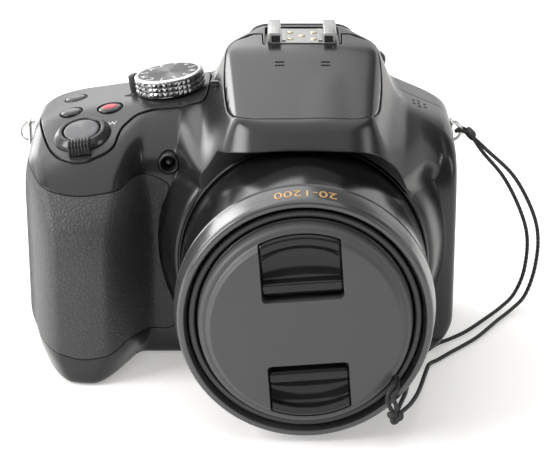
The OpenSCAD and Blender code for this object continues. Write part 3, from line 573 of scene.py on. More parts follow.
@dataclass(frozen=True)
class Finish:
    """A material: two tones clouded together, a range of roughness, and a fine grain in relief.

    scale is the grain's count per metre, and depth its relief in metres.
    """

    name: str
    slot: str
    tone: Colour
    shade: Colour
    rough: tuple[float, float] = (0.38, 0.5)
    grain: Grain = Grain.SATIN
    scale: float = 2600.0
    depth: float = 0.00002
    metal: float = 0.0
    clear: float = 0.0
    coat: float = 0.0
    glow: float = 0.0
    specular: float = 0.5
    clouds: float = 70.0
    centre: Axes | None = None
    edge: float = 0.00022

    def material(self) -> bpy.types.Material:
        """The Blender material of this finish, made once.

        Returns:
            The material.
        """
        made = bpy.data.materials.get(self.name)
        if made:
            return made
        made = bpy.data.materials.new(self.name)
        made.use_nodes = True
        tree = made.node_tree
        place = node(tree, "TexCoord").outputs["Object"]
        cloud = self.noise(tree, place, self.clouds, 4.0)
        relief = self.relief(tree, place)
        low, high = self.rough
        spread = node(tree, "MapRange", {"Value": cloud, "To Min": low, "To Max": high})
        soft = node(tree, "Bevel", {"Radius": self.edge})
        fine = {"Strength": 0.8, "Distance": self.depth, "Height": relief, "Normal": soft.outputs["Normal"]}
        surface = {
            "Metallic": self.metal,
            "Transmission Weight": self.clear,
            "Coat Weight": self.coat,
            "Emission Color": (*self.shade, 1),
            "Emission Strength": self.glow,
            "Specular IOR Level": self.specular,
            "Anisotropic": 0.9 if self.grain is Grain.SPUN else 0.0,
            "Base Color": self.tint(tree, cloud, relief),
            "Roughness": spread.outputs["Result"],
            "Normal": node(tree, "Bump", fine).outputs["Normal"],
        }
        feed(tree, tree.nodes["Principled BSDF"], surface)
        return made

    def tint(self, tree: Tree, cloud: Socket, relief: Socket) -> Socket:
        """The two tones mixed by the clouds, or, where the grain is leather, by painted shade that darkens
        the creases between the raised cells.

        Args:
            tree: The material's nodes.
            cloud: The socket of the clouds.
            relief: The socket of the grain's height.
        Returns:
            The socket of the colour.
        """
        factor = cloud
        if self.grain is Grain.LEATHER:
            # painted shade: near the cell edges the leather takes the darker tone, on the raised cells the
            # lighter one
            crease = node(tree, "MapRange", {"Value": relief, "From Min": 0.02, "From Max": 0.30})
            factor = crease.outputs["Result"]
        tones = {"Factor": factor, "A": (*self.tone, 1), "B": (*self.shade, 1)}
        return node(tree, "Mix", tones, data_type="RGBA").outputs["Result"]

    def noise(self, tree: Tree, place: Socket, scale: float, detail: float) -> Socket:
        """A noise of that scale and detail read at a place."""
        return node(tree, "TexNoise", {"Vector": place, "Scale": scale, "Detail": detail}).outputs["Fac"]

    def relief(self, tree: Tree, place: Socket) -> Socket:
        """The height of the grain: noise, leather cells, turned rings or drawn lines.

        Args:
            tree: The material's nodes.
            place: The socket that gives the coordinates.
        Returns:
            The socket of the height.
        """
        if self.grain is Grain.LEATHER:
            return self.leather(tree, place)
        if self.grain is Grain.SATIN:
            return self.noise(tree, place, self.scale, 2.0)
        if self.grain is Grain.BRUSHED:
            drawn = node(tree, "Mapping", {"Vector": place, "Scale": (0.02, 1.0, 1.0)})
            return self.noise(tree, drawn.outputs["Vector"], self.scale, 2.0)
        middle = tuple(np.array(self.centre.origin) * MM)
        about = {"Vector": place, "Location": middle, "Rotation": self.tilt()}
        turned = node(tree, "Mapping", about, vector_type="TEXTURE").outputs["Vector"]
        wave = {"Vector": turned, "Scale": self.scale, "Distortion": 0.4, "Detail Scale": 60.0}
        return node(tree, "TexWave", wave, wave_type="RINGS", rings_direction="Z").outputs["Fac"]

    def tilt(self) -> Point:
        """The turn that lays Z along the outward vector of the centre's frame."""
        x, y, z = self.centre.out
        return (math.atan2(-y, math.hypot(x, z)), math.atan2(x, z), 0.0)

    def leather(self, tree: Tree, place: Socket) -> Socket:
        """Rounded cells of many sizes: the distance to the cell edge, bent by a noise and softened.

        Args:
            tree: The material's nodes.
            place: The socket that gives the coordinates.
        Returns:
            The socket of the height.
        """
        bend = node(tree, "TexNoise", {"Vector": place, "Scale": self.scale * 0.8}).outputs["Color"]
        push = {0: bend, 1: (0.0009, 0.0009, 0.0009), 2: place}
        bent = node(tree, "VectorMath", push, operation="MULTIPLY_ADD").outputs["Vector"]
        cell = {"Vector": bent, "Scale": self.scale}
        away = node(tree, "TexVoronoi", cell, feature="DISTANCE_TO_EDGE").outputs["Distance"]
        return node(tree, "Math", {0: away, 1: 0.5}, operation="POWER").outputs["Value"]


SHUTTER_AXES = Axes(
    (-65.5, -14.6, 67.5323),
    (0.990911, -0.034812, 0.129938),
    (0.0, 0.965943, 0.258755),
    (-0.134518, -0.256467, 0.957147),
)
CASE = Finish(
    "case_plastic", "case", (0.011, 0.011, 0.0115), (0.015, 0.015, 0.0155), (0.22, 0.27),
    depth=0.000010, edge=0.00045,
)
COVER = Finish(
    "cover_plastic", "cover", (0.022, 0.022, 0.0225), (0.028, 0.028, 0.0285), (0.24, 0.29),
    depth=0.000012, edge=0.00045,
)
LID = Finish(
    "lid_plastic", "flash", (0.014, 0.014, 0.0145), (0.018, 0.018, 0.0185), (0.22, 0.27),
    depth=0.000012,
)
INSIDE = Finish("inside_plastic", "case", (0.010, 0.010, 0.010), (0.014, 0.014, 0.014), (0.55, 0.7))
# grip rubber: the darker tone in the creases of its leather grain is painted shade
GRIP = Finish(
    "grip_rubber", "grip", (0.021, 0.021, 0.022), (0.047, 0.047, 0.048), (0.42, 0.55), Grain.LEATHER,
    scale=780.0, depth=0.00022,
)
RUBBER = Finish(
    "soft_rubber", "soft_rubber", (0.016, 0.016, 0.016), (0.022, 0.022, 0.022), (0.6, 0.75),
    scale=1500.0,
)
BARREL = Finish(
    "barrel_satin", "barrel", (0.082, 0.082, 0.084), (0.098, 0.098, 0.100), (0.18, 0.23),
    depth=0.000006, metal=0.5,
)
BEZEL = Finish(
    "bezel_gloss", "barrel", (0.006, 0.006, 0.006), (0.009, 0.009, 0.009), (0.12, 0.17),
    depth=0.000004, specular=0.3,
)
NOSE = Finish("nose_plastic", "inner_barrel", (0.026, 0.026, 0.027), (0.034, 0.034, 0.035), (0.3, 0.4))
CAP = Finish("cap_plastic", "cap", (0.056, 0.056, 0.057), (0.064, 0.064, 0.065), (0.46, 0.54), depth=0.00002)
TAB = Finish(
    "tab_plastic", "cap", (0.009, 0.009, 0.0092), (0.012, 0.012, 0.0122), (0.16, 0.22),
    depth=0.000006, specular=0.34,
)
CORD = Finish("cord_braid", "cord", (0.012, 0.012, 0.012), (0.026, 0.025, 0.025), (0.6, 0.75), scale=3200.0)
GLASS = Finish("coated_glass", "lens_glass", (0.80, 0.86, 0.92), (0.86, 0.90, 0.95), (0.0, 0.03), clear=1.0)
CLEAR = Finish(
    "flash_window", "clear", (0.86, 0.88, 0.88), (0.92, 0.93, 0.93), (0.05, 0.15),
    clear=0.8, scale=900.0,
)
SCREEN = Finish(
    "screen_glass", "screen", (0.004, 0.004, 0.005), (0.007, 0.007, 0.009), (0.03, 0.07), coat=0.5
)
DIAL = Finish(
    "dial_plastic", "dial", (0.10, 0.10, 0.10), (0.13, 0.13, 0.13), (0.16, 0.22),
    metal=0.75, edge=0.00005,
)
KNURL = Finish(
    "dial_knurl", "dial", (0.26, 0.26, 0.26), (0.31, 0.31, 0.31), (0.13, 0.18),
    metal=1.0, edge=0.00003,
)
DIAL_TOP = Finish(
    "dial_spun_top", "dial", (0.078, 0.078, 0.080), (0.092, 0.092, 0.094), (0.40, 0.5), Grain.SPUN,
    scale=700.0, depth=0.000006, centre=DIAL_AXES,
)
DIAL_RIM = Finish(
    "dial_bright_rim", "dial", (0.70, 0.70, 0.70), (0.78, 0.78, 0.78), (0.2, 0.3), Grain.SPUN,
    scale=700.0, depth=0.000006, metal=1.0, centre=DIAL_AXES,
)
SPUN = Finish(
    "shutter_spun_metal", "button_metal", (0.13, 0.13, 0.134), (0.16, 0.16, 0.165), (0.26, 0.34), Grain.SPUN,
    scale=800.0, depth=0.00003, metal=0.85, centre=SHUTTER_AXES,
)
BUTTON = Finish("button_satin", "button", (0.022, 0.022, 0.023), (0.028, 0.028, 0.029), (0.2, 0.28))
KEY = Finish("key_plastic", "button", (0.030, 0.030, 0.031), (0.038, 0.038, 0.039), (0.28, 0.4))
RED = Finish("record_red", "button", (0.42, 0.010, 0.022), (0.50, 0.014, 0.030), (0.25, 0.35))
SHOE = Finish(
    "shoe_plate", "shoe", (0.38, 0.38, 0.37), (0.46, 0.46, 0.45), (0.22, 0.34), Grain.BRUSHED,
    metal=0.95,
)
STEEL = Finish(
    "bright_steel", "steel", (0.66, 0.66, 0.65), (0.76, 0.75, 0.74), (0.16, 0.28), Grain.BRUSHED,
    metal=1.0,
)
GOLD = Finish("gold_contact", "gold", (0.66, 0.56, 0.38), (0.74, 0.64, 0.45), (0.18, 0.28), metal=1.0)
GILT = Finish("gilt_print", "gold", (0.52, 0.30, 0.11), (0.60, 0.36, 0.14), (0.3, 0.4), metal=0.3)
PRINT = Finish("white_print", "dial", (0.78, 0.78, 0.77), (0.86, 0.86, 0.85), (0.45, 0.55))
FRAME = Finish(
    "frame_metal", "frame_metal", (0.30, 0.30, 0.31), (0.38, 0.38, 0.39), (0.35, 0.5), Grain.BRUSHED,
    metal=1.0,
)
BOARD = Finish(
    "circuit_board", "board", (0.010, 0.085, 0.040), (0.016, 0.11, 0.055), (0.3, 0.45), scale=900.0
)
CELL = Finish("cell_wrap", "cell", (0.020, 0.021, 0.023), (0.03, 0.031, 0.034), (0.35, 0.5))
LAMP = Finish("lamp_lens", "lamp", (0.006, 0.003, 0.003), (0.010, 0.004, 0.004), (0.05, 0.10))
FLOOR = Finish(
    "pale_floor", "case", (0.83, 0.82, 0.805), (0.85, 0.84, 0.825), (0.6, 0.75),
    scale=300.0, clouds=3.0, glow=0.42,
)

CARRIED_NODES = (
    (FRAME, "chassis", "zoom_motor"),
    (STEEL, "case_screws", "tripod_bush", "battery_door_pin"),
    (GLASS, "rear_lens_group", "middle_lens_group", "front_element"),
    (SCREEN, "image_sensor", "finder_panel", "screen_panel"),
    (CELL, "flash_capacitor", "battery", "memory_card"),
    (CLEAR, "flash_tube"),
    (INSIDE, "battery_box"),
    (BOARD, "main_board"),
)


def dress(obj: Object, finish: Finish, sharp: float = 34.0) -> Object:
    """Gives a piece its finish and smooth shading that breaks at edges sharper than the angle.

    Args:
        obj: The object.
        finish: The finish.
        sharp: Angle beyond which an edge stays sharp.
    Returns:
        The object.
    """
    obj.data.materials.clear()
    obj.data.materials.append(finish.material())
    obj.data.shade_smooth()
    obj.data.set_sharp_from_angle(angle=math.radians(sharp))
    return obj


def deliver(
    shape: Solid | Object, name: str, finish: Finish, body: str, *nodes: str, sharp: float = 34.0
) -> Object:
    """Dresses a piece, sets it on its body, and lets it stand for CAD nodes.

    Args:
        shape: The surface, or an object already made of it.
        name: The piece's name.
        finish: Its finish.
        body: The CAD body that it rides on.
        nodes: The CAD nodes that it replaces.
        sharp: The angle in degrees beyond which an edge stays sharp.
    Returns:
        The finished piece.
    """
    obj = shape if isinstance(shape, Object) else shape.piece(name)
    dress(obj, finish, sharp)
    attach(obj, body)
    if nodes:
        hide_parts(*nodes)
    LOG.info("%s: %d faces on %s", name, len(obj.data.polygons), body)
    return obj


def stand_in(shape: Solid | Object, name: str, finish: Finish, body: str = "", sharp: float = 34.0) -> Object:
    """A piece in place of the CAD node of its own name, on the body of that name unless one is given."""
    return deliver(shape, name, finish, body or name, name, sharp=sharp)


@dataclass
class Studio:
    """The camera at the photograph's angle, a pale floor and soft lights."""

    eye: Point = (-7.5, -550.32, 242.95)
    look_down: float = 20.996
    focal_pixels: float = 1886.78
    image_width: float = 555.0
    sensor: float = 36.0
    aim: Point = (0.0, 0.0, 0.05)
    ambient: float = 0.16
    floor_half: float = 1800.0
    floor_drop: float = 0.15
    lights: tuple = (
        ("back_softbox", (-0.80, 1.20, 1.05), (2.1, 1.3), 15.0),
        ("top_softbox", (-0.1, 0.0, 1.3), (2.2, 1.4), 13.0),
        ("left_softbox", (-1.06, -0.38, 0.64), (0.68, 0.75), 17.0),
        ("right_softbox", (1.0, -0.5, 0.6), (0.3, 0.8), 3.4),
        ("left_window", (-0.95, 1.25, 0.46), (0.42, 0.85), 6.0),
        ("backdrop", (0.1, 2.3, 0.5), (3.0, 0.95), 8.5),
        ("left_backdrop", (-2.0, 0.9, 0.5), (2.2, 0.95), 6.0),
        ("right_backdrop", (2.0, 0.9, 0.5), (2.2, 0.95), 3.8),
    )

    def build(self) -> None:
        """Makes the camera, the world, the lights and the floor."""
        scene = bpy.context.scene
        lens = bpy.data.cameras.new("view")
        lens.sensor_width = self.sensor
        lens.lens = self.focal_pixels * self.sensor / self.image_width
        view = bpy.data.objects.new("view", lens)
        view.location = [c * MM for c in self.eye]
        view.rotation_euler = (math.radians(90 - self.look_down), 0, 0)
        scene.collection.objects.link(view)
        scene.camera = view
        scene.view_settings.view_transform = "Standard"
        self.world()
        for name, place, size, power in self.lights:
            self.light(name, place, size, power)
        self.floor()

    def world(self) -> None:
        """A dim even white all round, seen as a white backdrop."""
        world = bpy.data.worlds.new("soft_white")
        world.use_nodes = True
        tree = world.node_tree
        seen = node(tree, "LightPath").outputs["Is Camera Ray"]
        spread = node(tree, "MapRange", {"Value": seen, "To Min": self.ambient}).outputs["Result"]
        feed(tree, tree.nodes["Background"], {"Color": (1, 1, 1, 1), "Strength": spread})
        bpy.context.scene.world = world

    def light(self, name: str, place: Point, size: tuple[float, float], power: float) -> None:
        """A rectangular soft light in metres and watts that faces the object's middle.

        Args:
            name: The object's name.
            place: Where it stands, in metres.
            size: Its two sides, in metres.
            power: Watts.
        """
        lamp = bpy.data.lights.new(name, "AREA")
        lamp.shape = "RECTANGLE"
        lamp.size, lamp.size_y = size
        lamp.energy = power
        obj = bpy.data.objects.new(name, lamp)
        aim = np.array(self.aim) - np.array(place)
        flat = math.hypot(aim[0], aim[1])
        obj.location = place
        obj.rotation_euler = (math.atan2(flat, -aim[2]), 0, math.atan2(-aim[0], aim[1]))
        obj.visible_camera = False
        bpy.context.scene.collection.objects.link(obj)

    def floor(self) -> None:
        """A flat pale sheet a little under the object, as a grid with level heights."""
        count = 4
        side = np.linspace(-self.floor_half, self.floor_half, count)
        x, y = np.meshgrid(side, side, indexing="ij")
        mesh = bpy.data.meshes.new("floor")
        points = np.stack((x, y, 0 * x - self.floor_drop), -1).reshape(-1, 3) * MM
        cells = np.arange(count - 1)
        first = (cells[:, None] * count + cells[None]).ravel()
        quads = np.stack((first, first + count, first + count + 1, first + 1), -1)
        mesh.from_pydata(points.tolist(), [], quads.tolist())
        sheet = bpy.data.objects.new("floor", mesh)
        bpy.context.scene.collection.objects.link(sheet)
        mesh.materials.append(FLOOR.material())


@dataclass
class CapCord:
    """The loop of braided cord from the right strap lug over the table to the knot, and its tail."""

    radius: float = 0.66
    pitch: float = 1.5
    plait: float = 0.10
    knot_radius: float = 0.82
    knot_at: Point = (24.6, -88.3, 11.4)
    rim: Point = (23.0, -88.4, 20.4)
    near_strand: tuple = (
        (47.92, 9, 61.6), (50.0, 7.3, 62.2), (53.0, 6.9, 60.4), (58, 8, 55.5), (67, 11, 46),
        (73.5, 12.5, 34), (76, 13.5, 24), (75.4, 14, 13), (72.6, 13, 4.5), (68, 9, 1.3), (62.4, 0.5, 1),
        (55.1, -11.9, 1), (49.8, -18.7, 1), (45.4, -23.9, 1), (41.3, -29, 1), (38.6, -33, 1.6),
        (36.8, -43, 4.6), (33.0, -63, 7.2), (29.9, -76, 9.6), (27.3, -83, 10.8), (24.6, -88.3, 11.4),
    )
    far_strand: tuple = (
        (47.92, 9, 61.6), (50.0, 10.7, 62.1), (52.8, 11.6, 59.8), (57, 13, 53.5), (64.5, 15, 44),
        (70.5, 17, 32), (73.2, 18, 22), (72.6, 18, 11), (69.6, 16.6, 3.6), (64.9, 11, 1.3),
        (58.0, 0.5, 1.2), (51.5, -8.6, 1.2), (46.1, -14.2, 1.2), (41.5, -18.3, 1.2), (36.6, -26.1, 1.2),
        (33.2, -38, 2.4), (30.6, -54, 5.8), (28.7, -70, 10.4), (27.7, -78, 12.8), (26.1, -84, 12.9),
        (24.6, -88.3, 11.4),
    )
    tail: tuple = (
        (24.6, -88.3, 11.4), (22.5, -88.7, 15.8), (22.6, -88.6, 18.6), (24.0, -87.0, 20.4),
        (24.6, -82.4, 21.3),
    )
    tail_loop: tuple = (
        (24.6, -88.3, 11.4), (24.7, -88.8, 15.0), (23.7, -89.0, 17.8), (24.9, -87.2, 19.3),
        (25.3, -82.4, 20.4),
    )

    def braid(self, path: Array) -> Solid:
        """A tube whose radius swells where plaits cross: R - d*(1 - cos 2t * cos(2 pi s / pitch)) / 2.

        Args:
            path: Points of the centreline.
        Returns:
            The closed surface.
        """
        length = path_length(path)
        line = resampled(path, int(length / self.pitch * 8))
        along = np.linspace(0, length, len(line))[:, None]
        t = (np.arange(12) * FULL_TURN / 12)[None]
        relief = self.plait * (1 - np.cos(2 * t) * np.cos(FULL_TURN * along / self.pitch)) / 2
        return tube(line, self.radius - relief, 12)

    def knot(self) -> Solid:
        """A tight overhand knot: a trefoil (sin t + 2 sin 2t, cos t - 2 cos 2t, -sin 3t) of cord.

        Returns:
            The closed surface.
        """
        t = np.linspace(0, FULL_TURN, 97)[:-1]
        across, up, out = np.sin(t) + 2 * np.sin(2 * t), np.cos(t) - 2 * np.cos(2 * t), -np.sin(3 * t)
        path = np.asarray(self.knot_at) + 0.52 * np.stack((across, out, up), -1) * (1.05, 1.3, 0.95)
        return tube(path, self.knot_radius, 12, closed=True)

    def collar(self) -> Solid:
        """The woven band that holds the two strands at the lug: a flattened ring carried along the cord.

        Returns:
            The closed surface.
        """
        loop = circle(1.0, 48) * (1.25, 4.1)
        rings = [(loop * (1, 1 - 0.02 * abs(k)) * (1 + 0.06 * (k % 2)), 0.28 * k) for k in range(-4, 5)]
        lean = unit(np.array((0.72, 0.0, -0.69)))
        across = np.cross((0, 1, 0), lean)
        axes = Axes((52.6, 9.1, 60.75), tuple(across), (0, 1, 0), tuple(lean))
        return stack(rings, axes)

    def build(self) -> None:
        shapes = {
            "cord_knot": self.knot(),
            "cord_tail": self.braid(spline(self.tail, 16)),
            "cord_tail_loop": self.braid(spline(self.tail_loop, 16)),
        }
        hung = [
            deliver_blend(shape, name, CORD, "front_barrel", "lens_cap")
            for name, shape in shapes.items()
        ]
        collar = deliver(self.collar(), "cord_collar", CORD, "camera")
        for name, points in (("cord_strand_near", self.near_strand), ("cord_strand_far", self.far_strand)):
            path = spline(points, 12)
            path[:, 2] = np.maximum(path[:, 2], self.radius + 0.1)
            braid = self.braid(path)
            strand = deliver_blend(braid, name, CORD, "camera", "front_barrel")
            if name == "cord_strand_near":
                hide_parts("lens_cap_cord")


def deliver_blend(
    shape: Solid, name: str, finish: Finish, a: str, b: str
) -> Object:
    """Dresses a soft piece, bakes its place into its mesh and logs the two bodies that it hangs between.

    Args:
        shape: The surface.
        name: The object's name.
        finish: The finish.
        a: The first body.
        b: The second body.
    Returns:
        The object.
    """
    obj = dress(shape.piece(name), finish, 60.0)
    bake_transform(obj)
    LOG.info("%s: %d faces between %s and %s", name, len(obj.data.polygons), a, b)
    return obj


@dataclass
class BodyForm:
    """The outer form of the body as a field that is negative inside and grows by the millimetre."""

    left: float = -82.9
    right: float = 46.2
    rear: float = 27.0
    front_wall: float = 22.5
    deck: float = 74.9
    shoulder: float = 74.7
    crown: float = 91.3
    hump_half: float = 22.8
    hood_radius: float = 38.3
    hood_front: float = 38.0
    brow_front: float = 50.0
    brow_low: float = 74.0
    grip_front: float = 45.0

    def top(self, x: Array, y: Array) -> Array:
        """The height of the top over a place in plan.

        The deck falls to the left and to the front, the right shoulder falls to the right, and the flash
        hump stands on both with steep flanks and bevelled rear corners; all meet in soft fillets.

        Args:
            x: Places across.
            y: Places front to back.
        Returns:
            The heights.
        """
        deck = self.deck + DECK_SLOPE * (x - DIAL_PLACE[0]) - front_fall(y)
        deck = deck - 0.009 * np.clip(-66 - x, 0, 30) ** 2
        shoulder = self.shoulder - 0.43 * (x - 29.5) - 0.20 * ramp(-y - 2, 3.0)
        under = smooth_step((x + 12) / 24)
        base = deck * (1 - under) + smooth_min(shoulder, 80.9 + 0 * x, 2.0) * under
        half = self.hump_half + 0.075 * np.minimum(y, 0) - 0.11 * ramp(y - 4, 2.0)
        crown = self.crown - 0.225 * ramp(-y, 2.0) - 0.0012 * x * x + 0.025 * ramp(y - 4, 2.0)
        hump = crown - 2.4 * ramp(np.abs(x) - half, 0.7)
        bevel = crown - 0.62 * ramp(np.abs(x) - 22.3 + 0.56 * ramp(y - 6.3, 0.8), 0.5)
        hump = smooth_min(hump, bevel, 1.2)
        return smooth_max(base, hump, 6.5 - 0.1 * np.clip(y, -20, 20))

    def front(self, x: Array, z: Array) -> Array:
        """How far the front reaches ahead of the plane y = 0, by width and height.

        A wall that leans back at the top, the round hood of the lens, the brow above it and the grip, blended
        into each other.

        Args:
            x: Places across.
            z: Heights.
        Returns:
            The reaches.
        """
        wall = self.front_wall - 1.25 * ramp(z - 62.5, 2.0 + 2.5 * smooth_step((x - 20) / 14))
        hood = self.hood_front - 3.6 * ramp(np.hypot(x, z - LENS_Z) - self.hood_radius, 0.6)
        steep = 2.5 + 0.046 * (z - 62)
        brow = self.brow_front - 0.72 * (z - self.brow_low) - steep * ramp(np.abs(x - 0.4) - 24.0, 4.2)
        brow = smooth_min(brow - 4 * ramp(60 - z, 2.0), self.brow_front + 1 + 0 * x, 2.0)
        tip = 1.25 * ramp(z - 50.5, 4.0)
        base = smooth_step((10 - z) / 10)
        left = 14 + 3.44 * (x + 84 - 2.6 * base)
        face = self.grip_front + 0.6 * base - tip - (0.012 + 0.016 * base) * (x + 63) ** 2
        flank = self.grip_front - 2.5 * (x + 55 + 3.2 * base) - 0.55 * tip
        grip = smooth_min(smooth_min(left, face, 14), flank, 9)
        crease = 4.9 + 3.4 * np.clip(x / 12, -1, 1)
        return smooth_max(smooth_max(smooth_max(wall, hood, 2.5), brow, crease), grip, 5.0)

    @staticmethod
    def past(face: Callable[[Array, Array], Array], a: Array, b: Array, height: Array) -> Array:
        """How far a height lies past a face h(a, b): (height - h) / sqrt(1 + slope squared).

        Args:
            face: The face's height over two coordinates.
            a: First coordinate.
            b: Second coordinate.
            height: The height that is asked about.
        Returns:
            The distance, negative inside.
        """
        step = 0.05
        level = face(a, b)
        slope = np.hypot((face(a + step, b) - level) / step, (face(a, b + step) - level) / step)
        return (height - level) / np.hypot(1, slope)

    def depth(self, x: Array, y: Array, z: Array) -> Array:
        """The field: the soft largest of the distances past the top, front, sides, rear and base.

        Args:
            x: Places across.
            y: Places front to back.
            z: Heights.
        Returns:
            The field's values.
        """
        past_top = self.past(self.top, x, y, z)
        past_front = self.past(self.front, x, z, -y)
        edge = 1.1 + 2.9 * smooth_step((np.abs(x) - 21) / 9)
        body = smooth_max(past_top, past_front, edge)
        roll = np.clip(16 - z, 0, 16) ** 2 / 54
        curl = np.clip(12 - z, 0, 12) ** 2 / 24
        tuck = np.clip(z - 50, 0, 30) ** 2 / 400
        side = smooth_max(x - self.right + curl, self.left + roll + tuck - x, 1.0)
        side = smooth_max(side, y - self.rear, 7.0)
        return smooth_max(smooth_max(body, side, 4.0), -z, 3.0)

    def shell(self, inset: float, stations: int, rays: int) -> Solid:
        """The surface that lies an inset inside the form.

        At each station along X, rays go out from a centre line, and halving finds where the field is -inset.

        Args:
            inset: Distance inside the form.
            stations: Slices along X, closer together at the ends.
            rays: Rays in each slice.
        Returns:
            The closed surface.
        """
        t = np.linspace(0, 1, stations)
        span = self.right - self.left - 2 * inset - 0.04
        x = (self.left + inset + 0.02 + span * (t - 0.8 * np.sin(FULL_TURN * t) / FULL_TURN))[:, None]
        a = (np.arange(rays) * FULL_TURN / rays)[None]
        middle_y = -2.0
        middle_z = 50 - 16 * smooth_step((-66 - x) / 17) - 8 * smooth_step((x - 36) / 10)
        near, far = np.zeros((stations, rays)), np.full((stations, rays), 130.0)
        for _ in range(26):
            half = (near + far) / 2
            inside = self.depth(x, middle_y + half * np.cos(a), middle_z + half * np.sin(a)) < -inset
            near, far = np.where(inside, half, near), np.where(inside, far, half)
        return skin(np.stack((x + 0 * near, middle_y + near * np.cos(a), middle_z + near * np.sin(a)), -1))


@dataclass(frozen=True)
class Panel:
    """A panel of the form: its outline and its opening, how far each is grown, and the cut's two ends."""

    outline: Array
    opening: Array
    shrink: float
    grow: float
    low: float
    high: float
    axes: Axes = WORLD_AXES


@dataclass
class Housing:
    """The case halves, the top cover, the grip rubber, the flash lid and the two doors, cut from one form."""

    form: BodyForm = field(default_factory=BodyForm)
    wall: float = 2.2
    seam: float = 0.22
    case_seam: float = 0.36
    cover_rise: float = 0.4
    bore: float = 36.0
    arch_radius: float = 37.6
    arch_face: float = 38.2
    seam_y: float = 5.0
    cover_loop: tuple = (
        (-80.1, 3.1), (-78.4, -6.8), (-75.8, -16.2), (-73.5, -21.5), (-70.9, -24.6), (-67.3, -26.5),
        (-63.9, -26.6), (-60.6, -25.4), (-58, -23.9), (-55.9, -21.3), (-55.1, -17.5), (-54, -13.2),
        (-52.1, -10), (-50.4, -7.7), (-48.2, -6.3), (-43.9, -5), (-38.4, -5), (-33.4, -5.1),
        (-29.6, -4.2), (-28.6, 0), (-28.4, 10), (-28.6, 20), (-30.5, 22.6), (-40, 22.9), (-60, 22.9),
        (-74, 22.4), (-78, 20), (-79.6, 12),
    )
    grip_loop: tuple = (
        (-96, 62), (-84, 61.5), (-81.1, 60.4), (-77.4, 58.3), (-71.1, 56.8), (-64.3, 56.4), (-57.3, 57),
        (-53.5, 57.4), (-51.2, 58.3), (-48.6, 58.6), (-45.3, 58), (-41.7, 56.6), (-39.8, 54.7),
        (-40.4, 51.6), (-42.3, 46.7), (-43.2, 39.4), (-42.7, 31), (-41, 23.5), (-39.2, 18), (-38.4, 13),
        (-39.4, 9.4), (-44.1, 8.8), (-49.1, 10.7), (-52.2, 11.5), (-54.7, 10.4), (-58.6, 9.2),
        (-65.3, 8.4), (-73.1, 10.1), (-84, 11), (-96, 11.2),
    )
    lid_half: tuple = (
        (0, -41.7), (15.4, -41.3), (19.6, -39.2), (21.8, -31.0), (22.9, -19.8), (23.4, -10.2), (23.1, 0.1),
        (22.5, 6.3), (15.5, 15.8), (12.2, 15.6), (11.9, 4.5), (0, 4.4),
    )
    battery_door: tuple[float, float, float, float] = (-76.0, -50.5, -31.0, -1.6)
    terminal_door: tuple[float, float, float, float] = (7.1, 21.8, 18.0, 50.0)
    hinge_room: float = 0.5
    lid_end: float = 14.5

    def lid_outline(self) -> Array:
        """The flash lid in plan: its right half and the mirror image of it, with rounded corners.

        Returns:
            The points.
        """
        half = np.array(self.lid_half)
        mirrored = half[-2:0:-1] * (-1, 1)
        radii = np.array([9, 9, 6, 9, 9, 9, 9, 2, 1.2, 0.6, 0.6, 1])
        return rounded(np.vstack((half, mirrored)), np.concatenate((radii, radii[-2:0:-1])), steps=7)

    def prism(self, outline: Array, grow: float, low: float, high: float, axes: Axes = WORLD_AXES) -> Solid:
        """An outline grown a little and raised between two heights, as a cutter."""
        ring = offset(np.asarray(outline, float), grow)
        return stack([(ring, low), (ring, high)], axes)

    def rear_cutter(self, grow: float) -> Solid:
        """All that lies behind the case seam: y = seam, and the shoulder's own line near the top.

        Args:
            grow: How far the cutter is grown.
        Returns:
            The closed surface.
        """
        x = np.concatenate(([-100.0], np.linspace(18, 52, 35), [60.0]))[:, None]
        z = np.concatenate(([-10.0], np.linspace(44, 98, 28), [110.0]))[None]
        line_y = (self.seam_y, 9, 13.5, 12.6, 11.2, 11.2, 11, 11)
        over = np.interp(x, (18, 21, 26, 30, 33, 37, 43.2, 60), line_y)
        y = self.seam_y + (over - self.seam_y) * smooth_step((z - 53) / 12) - grow
        front = np.stack((x + 0 * z, y, z + 0 * x), -1)
        back = np.stack((front[:, ::-1, 0], np.full_like(y, 60.0), front[:, ::-1, 2]), -1)
        return skin(np.concatenate((front, back), 1))

    def arches(self, grow: float) -> list[Solid]:
        """Cutters of the hollow under the brow: a round about the lens and a sloping space over it.

        Args:
            grow: How far the cutter is grown.
        Returns:
            The cutters.
        """
        edge = (
            (-33.6, 56), (-31.3, 62.3), (-29.3, 66.2), (-27.2, 68.8), (-22.6, 72.1), (-17.7, 73.5),
            (-8, 74.4), (0, 74.6), (8, 74.4), (15.6, 73.9), (20.8, 72.3), (25.1, 68.6), (28.2, 63.8),
            (30.6, 57),
        )
        space = np.vstack((spline(edge, 8), ((30, 46), (-32, 46))))
        low, high = self.arch_face - grow, 90
        mouth = circle(self.arch_radius + grow, 256)
        return [
            stack([(mouth, low), (mouth, high)], LENS_AXES),
            self.prism(space, min(grow, 0.9), low, high, front_axes(0, 0)),
        ]

    def hollow_form(self) -> tuple[Object, Object]:
        """The form with the hollow under the brow, its wall thickness and the bore of the lens.

        Returns:
            The hollow form, and a like one that stands a little proud of it for the top cover.
        """
        outer = self.form.shell(0.0, stations=340, rays=400).piece("housing")
        proud = self.form.shell(-self.cover_rise, stations=240, rays=280).piece("proud")
        inner = self.form.shell(self.wall, stations=150, rays=180).piece("cavity")
        carve(outer, Cut.TAKE, *self.arches(0.0))
        carve(inner, Cut.TAKE, *self.arches(self.wall))
        carve(proud, Cut.TAKE, copied(inner, "cavity_copy"))
        carve(outer, Cut.TAKE, inner, drum(self.bore, -2, 70, LENS_AXES))
        shoe = self.prism(oblong(-11.4, 11.4, 3.6, 22.4, 0.8), 0.0, 90.0, 100.0)
        return carve(outer, Cut.TAKE, shoe), proud

